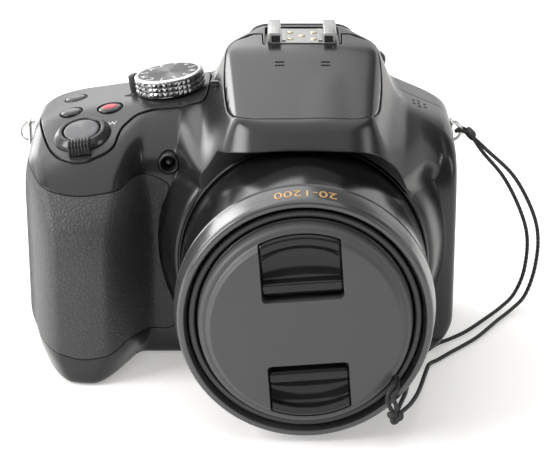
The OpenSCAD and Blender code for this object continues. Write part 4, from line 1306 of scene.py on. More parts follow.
    def build(self) -> None:
        """Cuts the panels from the hollow form with a fine seam round each, and dresses them."""
        whole, proud = self.hollow_form()
        gap = self.seam / 2
        cover = spline(self.cover_loop, 6, closed=True)
        grip = spline(self.grip_loop, 6, closed=True)
        lid = self.lid_outline()
        battery = oblong(*self.battery_door, 1.5)
        terminal = self.door_outline(0.0)
        doorway = self.door_outline(self.hinge_room)
        panels = {
            "top_cover": Panel(cover, cover, -gap, 3.6 * gap, 52, 120),
            "grip_rubber": Panel(grip, grip, -gap, gap, 3, 80, front_axes(0, 0)),
            "flash_lid": Panel(lid, lid, -1.8 * gap, 1.8 * gap, 76, 120),
            "battery_door": Panel(battery, battery, -gap, gap, -5, 3.2),
            "terminal_door": Panel(terminal, doorway, -gap, gap, 43.0, 60, RIGHT_AXES),
        }
        pieces = {}
        for name, panel in panels.items():
            source = proud if name == "top_cover" else whole
            cutter = self.prism(panel.outline, panel.shrink, panel.low, panel.high, panel.axes)
            pieces[name] = carve(copied(source, name), Cut.KEEP, cutter)
        discard(proud)
        for panel in panels.values():
            cutter = self.prism(panel.opening, panel.grow, panel.low, panel.high, panel.axes)
            carve(whole, Cut.TAKE, cutter)
        rear = carve(copied(whole, "rear_case"), Cut.KEEP, self.rear_cutter(-self.case_seam / 2))
        front = carve(whole, Cut.TAKE, self.rear_cutter(self.case_seam / 2))
        front.name = front.data.name = "front_case"
        carve(pieces["top_cover"], Cut.TAKE, self.cover_holes())
        carve(pieces["flash_lid"], Cut.TAKE, self.microphone_slits(), self.lid_clearance())
        carve(front, Cut.TAKE, self.front_holes(), self.speaker_holes(), self.ledge_groove())
        carve(rear, Cut.TAKE, self.rear_holes())
        stand_in(front, "front_case", CASE, "camera")
        stand_in(rear, "rear_case", CASE, "camera")
        stand_in(pieces["top_cover"], "top_cover", COVER, "camera")
        stand_in(pieces["grip_rubber"], "grip_rubber", GRIP, "camera")
        deliver(pieces["flash_lid"], "flash_lid", LID, "flash_head")
        stand_in(pieces["battery_door"], "battery_door", CASE)
        stand_in(pieces["terminal_door"], "terminal_door", CASE)
        self.build_tray()

    def door_outline(self, room: float) -> Array:
        """The terminal door in (y, z), with some room ahead of its hinge and nearly square corners there.

        Args:
            room: Extra room at the hinge.
        Returns:
            The points.
        """
        front, back, low, high = self.terminal_door
        corners = ((front - room, low), (back, low), (back, high), (front - room, high))
        return rounded(corners, np.array((0.3, 1.5, 1.5, 0.3)), steps=7)

    def lid_clearance(self) -> Solid:
        """What the lid's rear edges give up to clear the case and the shoe when the flash pops up.

        Returns:
            The closed surface.
        """
        end = self.lid_end
        half = ((0, 3.8), (11.8, 3.8), (11.8, end), (14.9, end), (17.0, 11.9), (20.8, 8.6), (30, 8.6))
        mirrored = np.array(half[:0:-1]) * (-1, 1)
        return self.prism(np.vstack((half, ((30, 30), (-30, 30)), mirrored)), 0.0, 70, 100)

    def cover_holes(self) -> Solid:
        """The wells of the three small buttons on the deck."""
        buttons = TopControls.small_buttons
        return joined(drum(r + 0.4, -1.7, 6, TopControls.seat(x, y)) for x, y, r in buttons)

    def microphone_slits(self) -> Solid:
        """Two pairs of shallow slits across the lid.

        Returns:
            The closed surface.
        """
        places = [(x, y) for x in (-6.8, 6.8) for y in (-8.9, -10.9)]
        slits = [oblong(x - 1.4, x + 1.4, y - 0.38, y + 0.38, 0.15) for x, y in places]
        return joined(slab(slit, 88.3, 95, WORLD_AXES, CRISP) for slit in slits)

    def ledge_groove(self) -> Solid:
        """The fine groove that runs down beside the lid on the left flank of the hump.

        Returns:
            The closed surface.
        """
        line = (
            (-27.0, -4.0, 81.4), (-26.4, -11.3, 80.6), (-25.2, -20.9, 79.6), (-22.6, -33.0, 80.2),
            (-20.4, -41.4, 80.9),
        )
        return tube(spline(line, 8), 0.3, 8)

    def speaker_holes(self) -> Solid:
        """The small holes over the right shoulder."""
        places = ((34.2, 5.9), (34.3, 2.9), (35.9, 7.0), (35.8, 4.4), (35.9, 1.8), (37.8, 6.2), (37.8, 3.3))
        return joined(drum(0.55, 69.0, 80, Axes((x, y, 0))) for x, y in places)

    def front_holes(self) -> Solid:
        """Openings of the focus lamp, the tripod bush and the flash release.

        Returns:
            The closed surface.
        """
        lamp = drum(3.2, 15, 40, front_axes(*Fittings.lamp_place))
        bush = drum(5.2, -6, 1, BASE_AXES)
        release = slab(offset(Flash.release_outline(), 0.3), -40, -20, RIGHT_AXES, CRISP)
        return lamp + bush + release

    def rear_holes(self) -> Solid:
        """Openings of the screen, the keys, the dial and the finder, and the seats of the case screws.

        Returns:
            The closed surface.
        """
        behind = 40
        screen_axes, finder_axes = rear_axes(*RearControls.screen_at), rear_axes(*RearControls.finder_at)
        holes = [
            slab(oblong(-36.25, 36.25, -27.25, 27.25, 1.6), 24.7, behind, screen_axes, CRISP),
            slab(oblong(-9.0, 9.0, -3.0, 3.0, 1.0), 18, behind, rear_axes(-62, 59.5), CRISP),
            slab(oblong(-9.2, 9.2, -5.7, 5.7, 1.2), 18, behind, finder_axes, CRISP),
        ]
        holes += [drum(r + 0.3, 24.6, behind, rear_axes(x, z)) for x, z, r in RearControls.key_places()]
        holes += [drum(2.3, -1.3, 1, BASE_AXES.shifted(x, -21)) for x in (38, -20, -72)]
        return joined(holes)

    def build_tray(self) -> None:
        """The floor of the flash well under the lid."""
        floor = slab(oblong(-19.5, 19.5, -37.0, 12.5, 2.0), 74.7, 75.3, WORLD_AXES, 0.2)
        deliver(floor, "flash_well_floor", INSIDE, "camera")


@dataclass
class Lens:
    """The fixed barrel, the bezel in the hood, the two sliding barrels and the focal-length numerals."""

    lip: float = 82.0
    outer: float = 35.6
    lip_bore: float = 32.15
    band: float = 36.1
    band_rear: float = 73.5
    band_taper: float = 0.155
    numeral_height: float = 4.6
    numeral_middle: float = 77.6
    numeral_stretch: tuple[float, float] = (1.14, 1.02)
    steps: int = 288

    def build(self) -> None:
        """Makes the rings of the lens from front to back."""
        stand_in(self.barrel(), "outer_barrel", BEZEL, "camera", sharp=30)
        deliver(self.ring(), "focal_range_ring", BARREL, "camera", sharp=30)
        stand_in(self.bezel(), "lens_bezel", BEZEL, "camera", sharp=30)
        middle = self.sliding(bore=29.85, outer=31.75, front=81.0, rear=11.0, hole=16.0)
        stand_in(middle, "mid_barrel", NOSE, sharp=30)
        stand_in(self.nose(), "front_barrel", NOSE, sharp=30)
        deliver(self.numerals(), "focal_range_numerals", GILT, "camera")

    def barrel(self) -> Solid:
        """The fixed barrel in gloss black, from the back wall to the groove behind the numeral band.

        Returns:
            The closed surface.
        """
        profile = (
            (self.lip_bore, 8), (33.55, 8), (33.55, 25), (self.outer, 25), (self.outer, 70.9),
            (35.3, 71.4), (34.6, 71.4), (34.6, 74), (self.lip_bore, 74),
        )
        return revolve(rounded(profile, 0.15), LENS_AXES, self.steps)

    def ring(self) -> Solid:
        """The satin ring at the barrel's front: a bevel, a groove, the tapered band and a rounded lip.

        Returns:
            The closed surface.
        """
        profile = (
            (34.2, 71.5), (35.7, 71.5), (self.band, 71.8), (35.2, 72.7), (35.2, 73.2),
            (self.band, self.band_rear), (self.band - 5.6 * self.band_taper, 79.1), (35.05, 80.5),
            (34.5, self.lip), (33.1, self.lip), (32.9, 81.8), (self.lip_bore, 79.8),
            (self.lip_bore, 74.1), (34.2, 74.1),
        )
        radii = (0.1, 0.1, 0.1, 0.15, 0.15, 0.3, 2.5, 0.8, 0.9, 0.2, 0.2, 0.4, 0.1, 0.1)
        return revolve(rounded(profile, np.array(radii)), LENS_AXES, self.steps)

    def bezel(self) -> Solid:
        """The thin glossy ring in the hood's mouth."""
        profile = ((35.8, 38.0), (36.75, 38.0), (36.75, 38.6), (36.35, 39.4), (35.8, 39.4))
        return revolve(rounded(profile, 0.25), LENS_AXES, self.steps)

    def sliding(self, bore: float, outer: float, front: float, rear: float, hole: float) -> Solid:
        """A sliding barrel: a tube with a rounded lip, two fine rings near it and a wall at its back.

        Args:
            bore: Inner radius.
            outer: Outer radius.
            front: Front end.
            rear: Rear end.
            hole: Radius of the hole in the back wall.
        Returns:
            The closed surface.
        """
        profile = (
            (bore, front - 0.5), (bore + 0.4, front), (outer - 0.4, front), (outer, front - 0.4),
            (outer, front - 4.0), (outer - 0.25, front - 4.15), (outer - 0.25, front - 4.65),
            (outer, front - 4.8), (outer, rear), (hole, rear), (hole, rear + 1.5), (bore, rear + 1.5),
        )
        return revolve(rounded(profile, 0.2), LENS_AXES, self.steps)

    def nose(self) -> Solid:
        """The front barrel: a tube with a filter thread in its mouth and a stepped seat for the glass.

        Returns:
            The closed surface.
        """
        thread = [(27.75 + 0.14 * (k % 2), 80.0 - 0.28 * k) for k in range(9)]
        profile = (
            [(29.0, 80.7), (29.45, 80.3), (29.45, 15.0), (18.0, 15.0), (18.0, 16.6), (26.0, 16.6)]
            + [(26.0, 64.5), (24.6, 64.5), (24.6, 66.6), (27.62, 66.6), (27.62, 77.4)]
            + thread[::-1] + [(27.9, 80.7)]
        )
        return revolve(rounded(np.array(profile), 0.12, steps=3), LENS_AXES, self.steps)

    def numerals(self) -> Solid:
        """The focal range wrapped on the numeral band, read from behind: x turns by x/R round the axis.

        Returns:
            The closed surface.
        """
        text = lettering("20-1200", self.numeral_height, 0.16)
        x, y, z = text.points.T
        wide, tall = self.numeral_stretch
        turn = -x * wide / self.outer
        along = self.numeral_middle + y * tall
        radius = self.band - self.band_taper * (along - self.band_rear) + 0.03 + z
        text.points = LENS_AXES.place(np.stack((radius * np.sin(turn), radius * np.cos(turn), along), -1))
        return text


@dataclass
class Cap:
    """The lens cap with its two pinch tabs in open pockets."""

    radius: float = 29.0
    face: float = 87.0
    face_radius: float = 25.7
    seat: float = 81.0
    plug: float = 27.25
    pocket_half: float = 11.05
    pocket_rim: float = 26.9
    tab_half: float = 10.7
    tab_rim: float = 26.6
    tab_corner: float = 1.25
    tab_round: float = 0.35
    pocket_corner: float = 1.3
    cord_hole: tuple[float, float] = (24.9, 20.9)
    upper: tuple[float, float] = (8.15, 10.0)
    lower: tuple[float, float] = (10.45, 12.3)

    def build(self) -> None:
        """Makes the cap's body and its tabs."""
        body = self.disc().piece("lens_cap")
        carve(body, Cut.TAKE, self.pocket(1, self.upper[0]) + self.pocket(-1, self.lower[0]))
        carve(body, Cut.TAKE, drum(1.3, 80, 95, front_axes(*self.cord_hole)))
        stand_in(body, "lens_cap", CAP, sharp=24)
        for name, sign, inner in (("cap_tab_top", 1, self.upper[1]), ("cap_tab_bottom", -1, self.lower[1])):
            stand_in(self.tab(sign, inner), name, TAB, sharp=26)

    def disc(self) -> Solid:
        """The cap turned about the lens axis: a hollow plug, a round flange, a step and a bevelled face.

        Returns:
            The closed surface.
        """
        profile = (
            (0, 79.6), (25.4, 79.6), (25.6, 78.2), (self.plug, 78.2), (self.plug, 80.9),
            (self.radius, self.seat), (self.radius, 83.4), (28.4, 84.6), (27.4, 85.0), (27.0, 85.0),
            (26.5, 85.6), (self.face_radius, self.face), (0, self.face),
        )
        radii = np.array((0, 0.3, 0.2, 0.3, 0.2, 0.3, 0.9, 0.7, 0.2, 0.2, 0.2, 0.35, 0))
        return revolve(rounded(profile, radii, closed=False), LENS_AXES, 288, closed=False)

    def pocket(self, sign: int, inner: float) -> Solid:
        """The opening round a tab: straight sides, a rounded inner end and an outer end along the rim.

        Args:
            sign: 1 for one side, -1 for the mirrored one.
            inner: Distance of the inner end from the axis.
        Returns:
            The closed surface.
        """
        reach = math.asin(self.pocket_half / self.pocket_rim)
        t = np.linspace(reach, -reach, 25)
        arc = self.pocket_rim * np.stack((np.sin(t), np.cos(t)), -1)
        corners = np.vstack(((-self.pocket_half, inner), (self.pocket_half, inner), arc))
        outline = rounded(corners, np.array([self.pocket_corner] * 2 + [0.3] * len(arc)), steps=6) * (1, sign)
        return stack([(outline, 81.5), (outline, 92)], CAP_AXES)

    def tab(self, sign: int, inner: float) -> Solid:
        """A pinch tab: a section in (distance from the axis, height) carried across the cap.

        The section has a pad at the rim, a scooped floor and a finger ledge; its distances bend from
        straight at the inner end to the rim's own arc at the outer end: (1-t) u + t sqrt(u*u - x*x).
        Its two inner corners are quarter circles.

        Args:
            sign: 1 for the upper tab, -1 for the lower one.
            inner: Distance of its inner end from the axis.
        Returns:
            The closed surface.
        """
        rim = self.tab_rim
        top = (
            (inner, 81.75), (inner, 85.3), (inner + 0.6, 86.2), (inner + 3.0, 86.5), (inner + 3.5, 86.0),
            (inner + 4.0, 84.4), (inner + 6.0, 83.0), (rim - 6.2, 82.7), (rim - 4.2, 83.3),
            (rim - 3.0, 84.7), (rim - 2.8, 86.0), (rim - 0.7, 86.0), (rim, 85.2), (rim, 81.75),
        )
        radii = np.array((0.1, 0.4, 0.7, 0.35, 0.4, 1.0, 1.5, 1.5, 1.0, 0.6, 0.25, 0.6, 0.4, 0.1))
        section = rounded(top, radii, steps=6)
        end = np.linspace(0, self.tab_round, 5)
        x = np.concatenate((-self.tab_half + end, np.linspace(-10.1, 10.1, 41), self.tab_half - end[::-1]))
        x = x[:, None]
        u, h = section[None, :, 0], section[None, :, 1]
        t = smooth_step((u - inner - 2.5) / (rim - inner - 6.5))
        arc = np.sqrt(np.maximum(u * u - x * x, 1.0))
        over = np.clip((np.abs(x) - self.tab_half) / self.tab_round + 1, 0, 1)
        height = h - self.tab_round * (1 - np.sqrt(1 - over**2)) * (h > 82.5)
        floor = smooth_step((u - inner - 4.2) / 1.5) * smooth_step((rim - 2.9 - u) / 1.5)
        scoop = 0.6 * (x / self.tab_half) ** 2 * floor
        z = (1 - t) * u + t * arc
        near = np.clip((inner + self.tab_corner - u) / self.tab_corner, 0, 1)
        across = x * (1 - self.tab_corner * (1 - np.sqrt(1 - near**2)) / self.tab_half)
        return skin(CAP_AXES.place(np.stack((across, sign * z, height + scoop), -1)))


@dataclass
class Flash:
    """The pop-up flash below its lid: arms, the lamp housing with its window, and the release button."""

    hinge: tuple[float, float] = (17.5, 88.5)
    housing_half: float = 16.4
    window_tilt: float = 25.0
    release_scale: float = 0.34
    release_shift: tuple[float, float] = (1.8, 1.4)

    def build(self) -> None:
        """Makes the housing, the window and the release."""
        head = self.housing().piece("flash_head")
        for sign in (-1, 1):
            carve(head, Cut.ADD, self.arm(sign))
        carve(head, Cut.TAKE, self.recess())
        stand_in(head, "flash_head", INSIDE)
        stand_in(self.window(), "flash_window", CLEAR, "flash_head")
        stand_in(self.release(), "flash_release", BEZEL)
        pins = self.pin(-17.2, -11.8) + self.pin(11.8, 17.2)
        stand_in(pins, "flash_hinge_pins", STEEL, "camera")

    def housing(self) -> Solid:
        """The block that hangs under the lid: a side outline in (y, z) carried across, with rounded edges.

        Returns:
            The closed surface.
        """
        side = (
            (-41.2, 78.7), (-41.0, 76.4), (-38.0, 75.7), (-13.0, 75.7), (-12.4, 85.6), (-28.0, 82.2),
            (-40.0, 79.6),
        )
        return slab(rounded(side, 0.8), -self.housing_half, self.housing_half, RIGHT_AXES, 0.6, 0.6)

    def pin(self, low: float, high: float) -> Solid:
        """A hinge pin between two places across the width."""
        return slab(circle(0.9, 32) + self.hinge, low, high, RIGHT_AXES, 0.15, 0.15)

    def arm(self, sign: int) -> Solid:
        """An arm from the housing back to the hinge pin: a side outline with a round eye.

        Args:
            sign: 1 for one side, -1 for the mirrored one.
        Returns:
            The closed surface.
        """
        y, z = self.hinge
        side = ((-16, 86.2), (-16, 82.6), (10, 84.6), (y + 1.4, z - 2.6), (y + 1.4, z - 0.5), (10, 87.5))
        low, high = sorted((sign * 12.2, sign * 14.8))
        return slab(rounded(side, 1.3), low, high, RIGHT_AXES, 0.3, 0.3)

    def window_axes(self) -> Axes:
        """The frame of the window, which leans back from the front of the housing."""
        s, c = math.sin(math.radians(self.window_tilt)), math.cos(math.radians(self.window_tilt))
        return Axes((0, -40.3, 77.5), (1, 0, 0), (0, s, c), (0, -c, s))

    def recess(self) -> Solid:
        """The seat of the window."""
        return slab(oblong(-14.2, 14.2, -1.2, 1.4, 0.4), -1.8, 6, self.window_axes(), CRISP)

    def window(self) -> Solid:
        """A diffuser with upright flutes: its face is 0.1 + 0.28 * zigzag(x) across the width.

        Returns:
            The closed surface.
        """
        x = np.linspace(-14.0, 14.0, 169)
        face = 0.2 + 0.28 * zigzag(x)
        outline = np.array(((-1.1, -1.6), (-1.1, 0.0), (1.3, 0.0), (1.3, -1.6)))
        up = np.broadcast_to(outline[None, :, 0], (len(x), 4))
        out = outline[None, :, 1] + face[:, None] * (outline[None, :, 1] > -0.5) - 0.1
        grid = np.stack((np.broadcast_to(x[:, None], up.shape), up, out), -1)
        return skin(self.window_axes().place(grid))

    @classmethod
    def release_outline(cls) -> Array:
        """The flash button's outline in (y, z): its CAD box, made smaller and moved.

        Returns:
            The points.
        """
        low, high = (np.array(c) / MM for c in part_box("flash_release"))
        middle, half = (low + high) / 2, (high - low) / 2
        low, high = middle - cls.release_scale * half, middle + cls.release_scale * half
        y, z = cls.release_shift
        return oblong(low[1] + y, high[1] + y, low[2] + z, high[2] + z, 0.5)

    def release(self) -> Solid:
        """The flash button on the left flank of the hump: a rounded block."""
        low, high = (np.array(c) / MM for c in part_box("flash_release"))
        return slab(self.release_outline(), low[0] + 1.4, high[0], RIGHT_AXES, 0.1, 0.5)


@dataclass
class TopControls:
    """The mode dial, the power lever, the shutter release in its zoom lever, and the small buttons."""

    dial_radius: float = 10.9
    dial_low: float = 0.75
    dial_high: float = 6.1
    knurls: int = 40
    knurl_rows: int = 3
    knurl_depth: float = 0.6
    mark_size: float = 3.3
    mark_radius: float = 7.5
    mark_turn: float = 0.3
    lever_turn: float = 158.0
    small_buttons: tuple = ((-58.4, -0.9, 3.7), (-70.4, 0.1, 3.3), (-70.2, 13.5, 3.3))

    @staticmethod
    def seat(x: float, y: float) -> Axes:
        """The frame of a button on the top cover, whose surface falls towards the front."""
        return deck_axes(x, y).shifted(0, 0, 0.3 - float(front_fall(y)))

    def build(self) -> None:
        """Makes every control on the deck."""
        stand_in(self.dial(), "mode_dial", KNURL, sharp=22)
        deliver(self.dial_rim(), "mode_dial_rim", DIAL_RIM, "mode_dial", sharp=30)
        deliver(self.dial_top(), "mode_dial_top", DIAL_TOP, "mode_dial", sharp=30)
        deliver(self.dial_marks(), "mode_dial_marks", PRINT, "mode_dial")
        ring = rounded(((6, 0.32), (9.6, 0.32), (9.6, 0.45), (9.3, 0.52), (6, 0.52)), 0.05)
        lever = revolve(ring, DIAL_AXES, 120).piece("power_lever")
        for part in self.lever_tab():
            carve(lever, Cut.ADD, part)
        stand_in(lever, "power_lever", KEY)
        deliver(self.dark_triangle(), "lever_dark_triangle", INSIDE, "camera")
        deliver(self.zoom_marks(), "zoom_marks", PRINT, "camera")
        stand_in(self.shutter(), "shutter_button", SPUN, sharp=30)
        ring = self.zoom_ring().piece("zoom_lever")
        carve(ring, Cut.ADD, self.zoom_tab())
        stand_in(ring, "zoom_lever", BUTTON, sharp=30)
        names = ("record_button", "fn_button_front", "fn_button_rear")
        for name, (x, y, r) in zip(names, self.small_buttons):
            stand_in(self.button(self.seat(x, y), r), name, BUTTON, sharp=30)
        record = self.seat(*self.small_buttons[0][:2])
        dome = ((0, 0.72), (1.6, 0.66), (2.4, 0.42), (2.4, 0.1), (0, 0.1))
        dot = revolve(rounded(dome, 0.15, closed=False), record, 64, closed=False)
        deliver(dot, "record_dot", RED, "record_button", sharp=50)

    def dial(self) -> Solid:
        """The dial's wall: rows of pyramids, r = R - depth * (1 - min(zigzag(n t), zigzag(row))).

        Returns:
            The closed surface.
        """
        low, high = self.dial_low + 0.1, self.dial_high - 0.8
        rise = np.linspace(low, high, self.knurl_rows * 10 + 1)
        t = np.arange(self.knurls * 10) * FULL_TURN / (self.knurls * 10)
        rows = zigzag((rise - low) / (high - low) * self.knurl_rows)[:, None]
        pyramid = np.minimum(zigzag(self.knurls * t / FULL_TURN)[None], rows)
        out, top = self.dial_radius, self.dial_high
        wall = out - self.knurl_depth * (1 - pyramid)
        below = ((out - 1.4, low - 0.3), (out - 0.8, low - 0.3), (out - 0.6, low - 0.15))
        above = ((out - 0.45, high + 0.1), (out - 0.7, top - 0.35), (out - 1.6, top - 0.35))
        ones = np.ones_like(t)
        radius = np.vstack([r * ones for r, _ in below] + [wall] + [r * ones for r, _ in above])
        height = np.concatenate(([h for _, h in below], rise, [h for _, h in above]))[:, None]
        grid = np.stack((radius * np.cos(t), radius * np.sin(t), height + 0 * t), -1)
        return skin(DIAL_AXES.place(grid))

    def dial_rim(self) -> Solid:
        """The bright bevelled ring round the dial's face.

        Returns:
            The closed surface.
        """
        r, h = self.dial_radius, self.dial_high
        profile = (
            (r - 1.6, h - 0.7), (r - 0.25, h - 0.75), (r - 0.35, h - 0.35),
            (r - 0.95, h), (r - 1.4, h), (r - 1.6, h - 0.15),
        )
        return revolve(rounded(profile, 0.12), DIAL_AXES, 160)

    def dial_top(self) -> Solid:
        """The dial's slightly sunken face.

        Returns:
            The closed surface.
        """
        r, h = self.dial_radius - 1.55, self.dial_high
        profile = ((0, h - 0.7), (r, h - 0.7), (r, h - 0.12), (0, h - 0.12))
        return revolve(rounded(profile, 0.05, closed=False), DIAL_AXES, 160, closed=False)

    def dial_marks(self) -> Solid:
        """Plain letters, numbers and signs round the dial's face, each with its foot to the middle.

        Returns:
            The closed surface.
        """
        marks = []
        signs = ("P", "A", "S", "M", "C", "1", "2", "3", "4", "5", "+", "*")
        for k, sign in enumerate(signs):
            mark = lettering(sign, self.mark_size, 0.08)
            turn = FULL_TURN * k / len(signs) + self.mark_turn
            c, s = math.cos(turn), math.sin(turn)
            x, y, z = (mark.points + (0, self.mark_radius, self.dial_high - 0.09)).T
            mark.points = DIAL_AXES.place(np.stack((x * c - y * s, x * s + y * c, z), -1))
            marks.append(mark)
        return joined(marks)

    def lever_tab(self) -> tuple[Solid, Solid]:
        """The finger tab of the power lever: a foot out from the ring, and a small upright block on it.

        Returns:
            The foot and the block.
        """
        turn = math.radians(self.lever_turn)
        right = np.array(DIAL_AXES.right) * math.cos(turn) + np.array(DIAL_AXES.up) * math.sin(turn)
        up = np.cross(DIAL_AXES.out, right)
        local = Axes(DIAL_AXES.origin, tuple(right), tuple(up), DIAL_AXES.out)
        foot = slab(oblong(8.4, 13.4, -1.5, 1.5, 0.6), 0.46, 0.54, local, CRISP, CRISP)
        return foot, slab(oblong(11.4, 13.5, -1.7, 1.7, 0.6), 0.47, 5.5, local, 0.5, 0.1)

    def dark_triangle(self) -> Solid:
        """A small dark triangle laid flat on the deck beside the power lever."""
        axes = deck_axes(-53.0, 9.0)
        return slab(rounded(((-1.7, -1.0), (1.6, -2.2), (1.6, 1.6)), 0.2), 0.1, 0.45, axes, 0.05)

    def zoom_marks(self) -> Solid:
        """The letter for wide beside the zoom lever, laid on the deck's front slope.

        Returns:
            The closed surface.
        """
        wide = lettering("W", 2.6, 0.3)
        wide.points = SHUTTER_AXES.place(wide.points + (8.6, 4.6, 0.42))
        return wide

    def shutter(self) -> Solid:
        """The release: a low turned cone with a round rim.

        Returns:
            The closed surface.
        """
        profile = ((0, 3.1), (2.4, 3.0), (4.7, 2.82), (5.2, 2.65), (5.45, 2.3), (5.45, 1.95), (0, 1.95))
        radii = np.array((0, 1.0, 0.4, 0.3, 0.2, 0.1, 0))
        return revolve(rounded(profile, radii, closed=False), SHUTTER_AXES, 128, closed=False)

    def zoom_ring(self) -> Solid:
        """The zoom lever's ring: a raised inner rim and a wide skirt that falls to the deck.

        Returns:
            The closed surface.
        """
        profile = (
            (5.8, 0.35), (8.7, 0.35), (8.7, 0.7), (8.2, 1.5), (7.3, 2.35), (6.9, 2.7), (6.1, 2.7),
            (5.8, 2.4),
        )
        return revolve(rounded(profile, 0.25), SHUTTER_AXES, 128)

    def zoom_tab(self) -> Solid:
        """The ribbed finger piece: a section in (y, z) carried across, swelling on each rib.

        Points of its open side move from the section's middle by 0.42 * (min(1.6 * zigzag(7 ribs), 1) - 1).

        Returns:
            The closed surface.
        """
        section = rounded(
            ((-6.2, 0.5), (-6.2, 3.2), (-7.2, 4.2), (-9.4, 4.3), (-10.8, 3.0), (-10.8, 0.4)),
            np.array((0.1, 0.5, 0.8, 0.9, 0.9, 0.2)), steps=5,
        )
        x = np.linspace(-3.3, 3.3, 85)[:, None]
        rib = 0.42 * (np.minimum(zigzag((x + 3.3) / 6.6 * 7) * 1.6, 1) - 1)
        middle = np.array((-8.0, 1.6))
        away = unit(section - middle)
        open_side = (section[:, 0] < -6.4) & (section[:, 1] > 1.0)
        y = section[None, :, 0] + rib * away[None, :, 0] * open_side
        z = section[None, :, 1] + rib * away[None, :, 1] * open_side
        return skin(SHUTTER_AXES.place(np.stack((x + 0 * y, y, z), -1)))

    def button(self, axes: Axes, radius: float) -> Solid:
        """A small button: a low crown inside a rounded rim.

        Args:
            axes: The local frame.
            radius: Outer radius.
        Returns:
            The closed surface.
        """
        crown = ((0, 0.55), (radius * 0.55, 0.46), (radius - 0.6, 0.2))
        profile = (*crown, (radius, -0.2), (radius, -0.7), (0, -0.7))
        return revolve(rounded(profile, 0.3, closed=False), axes, 96, closed=False)


@dataclass
class HotShoe:
    """The accessory shoe: a plate with folded rails, a spring and the contacts."""

    half: float = 10.5
    lips: float = 6.5
    low: float = 90.05
    high: float = 94.25
    floor: float = 91.3
    foot: float = 90.6
    under: float = 93.2
    sheet: float = 1.05
    front: float = 4.3
    back: float = 20.7

    def build(self) -> None:
        """Makes the shoe and its contacts."""
        shoe = self.plate().piece("hot_shoe")
        for sign in (-1, 1):
            carve(shoe, Cut.ADD, self.rail(sign))
        stand_in(shoe, "hot_shoe", SHOE, "camera", sharp=30)
        deliver(self.spring(), "shoe_spring", SHOE, "camera")
        deliver(self.rail_ends(), "shoe_rail_ends", INSIDE, "camera")
        pad = rounded(((0, 91.62), (0.7, 91.6), (1.0, 91.45), (1.0, 91.0), (0, 91.0)), 0.1, closed=False)
        places = ((0, 12), (-3.6, 8.4), (3.6, 8.4), (-3.6, 16), (3.6, 16))
        contacts = joined(revolve(pad, Axes((x, y, 0)), 40, closed=False) for x, y in places)
        stand_in(contacts, "shoe_contacts", GOLD, "camera")

    def plate(self) -> Solid:
        """The floor of the shoe."""
        outline = oblong(-self.half, self.half, self.front, self.back, 0.4)
        return slab(outline, self.low, self.floor, WORLD_AXES, 0.1)

    def rail(self, sign: int) -> Solid:
        """A folded rail: a hook in (x, z) carried along y, round where the sheet turns over.

        Args:
            sign: 1 for one side, -1 for the mirrored one.
        Returns:
            The closed surface.
        """
        hook = (
            (self.half, self.foot), (self.half, self.high), (self.lips, self.high), (self.lips, self.under),
            (self.half - self.sheet, self.under), (self.half - self.sheet, self.foot),
        )
        outline = rounded(hook, np.array((0.1, 1.0, 0.45, 0.45, 0.3, 0.1)), steps=7) * (sign, 1)
        return slab(outline, -self.back, -self.front, front_axes(0, 0), 0.12, 0.12)

    def spring(self) -> Solid:
        """The sprung tongue on the floor, slightly crowned along its length.

        Returns:
            The closed surface.
        """
        y = np.linspace(6.0, 19.6, 24)[:, None]
        crown = 91.34 + 0.42 * np.sin(math.pi * (y - 6.0) / 13.6)
        loop = np.array(((-6.2, 0.0), (-4.9, 0.0), (-4.9, 0.28), (-6.2, 0.28)))
        grid = np.stack((loop[None, :, 0] + 0 * y, y + 0 * loop[None, :, 0], crown + loop[None, :, 1]), -1)
        return skin(grid) + skin(grid * (-1, 1, 1))

    def rail_ends(self) -> Solid:
        """The dark stops inside the front of the rails."""
        left = slab(oblong(-9.3, -6.7, 4.7, 7.2, 0.3), 91.32, 93.1, WORLD_AXES, 0.2)
        return left + slab(oblong(6.7, 9.3, 4.7, 7.2, 0.3), 91.32, 93.1, WORLD_AXES, 0.2)


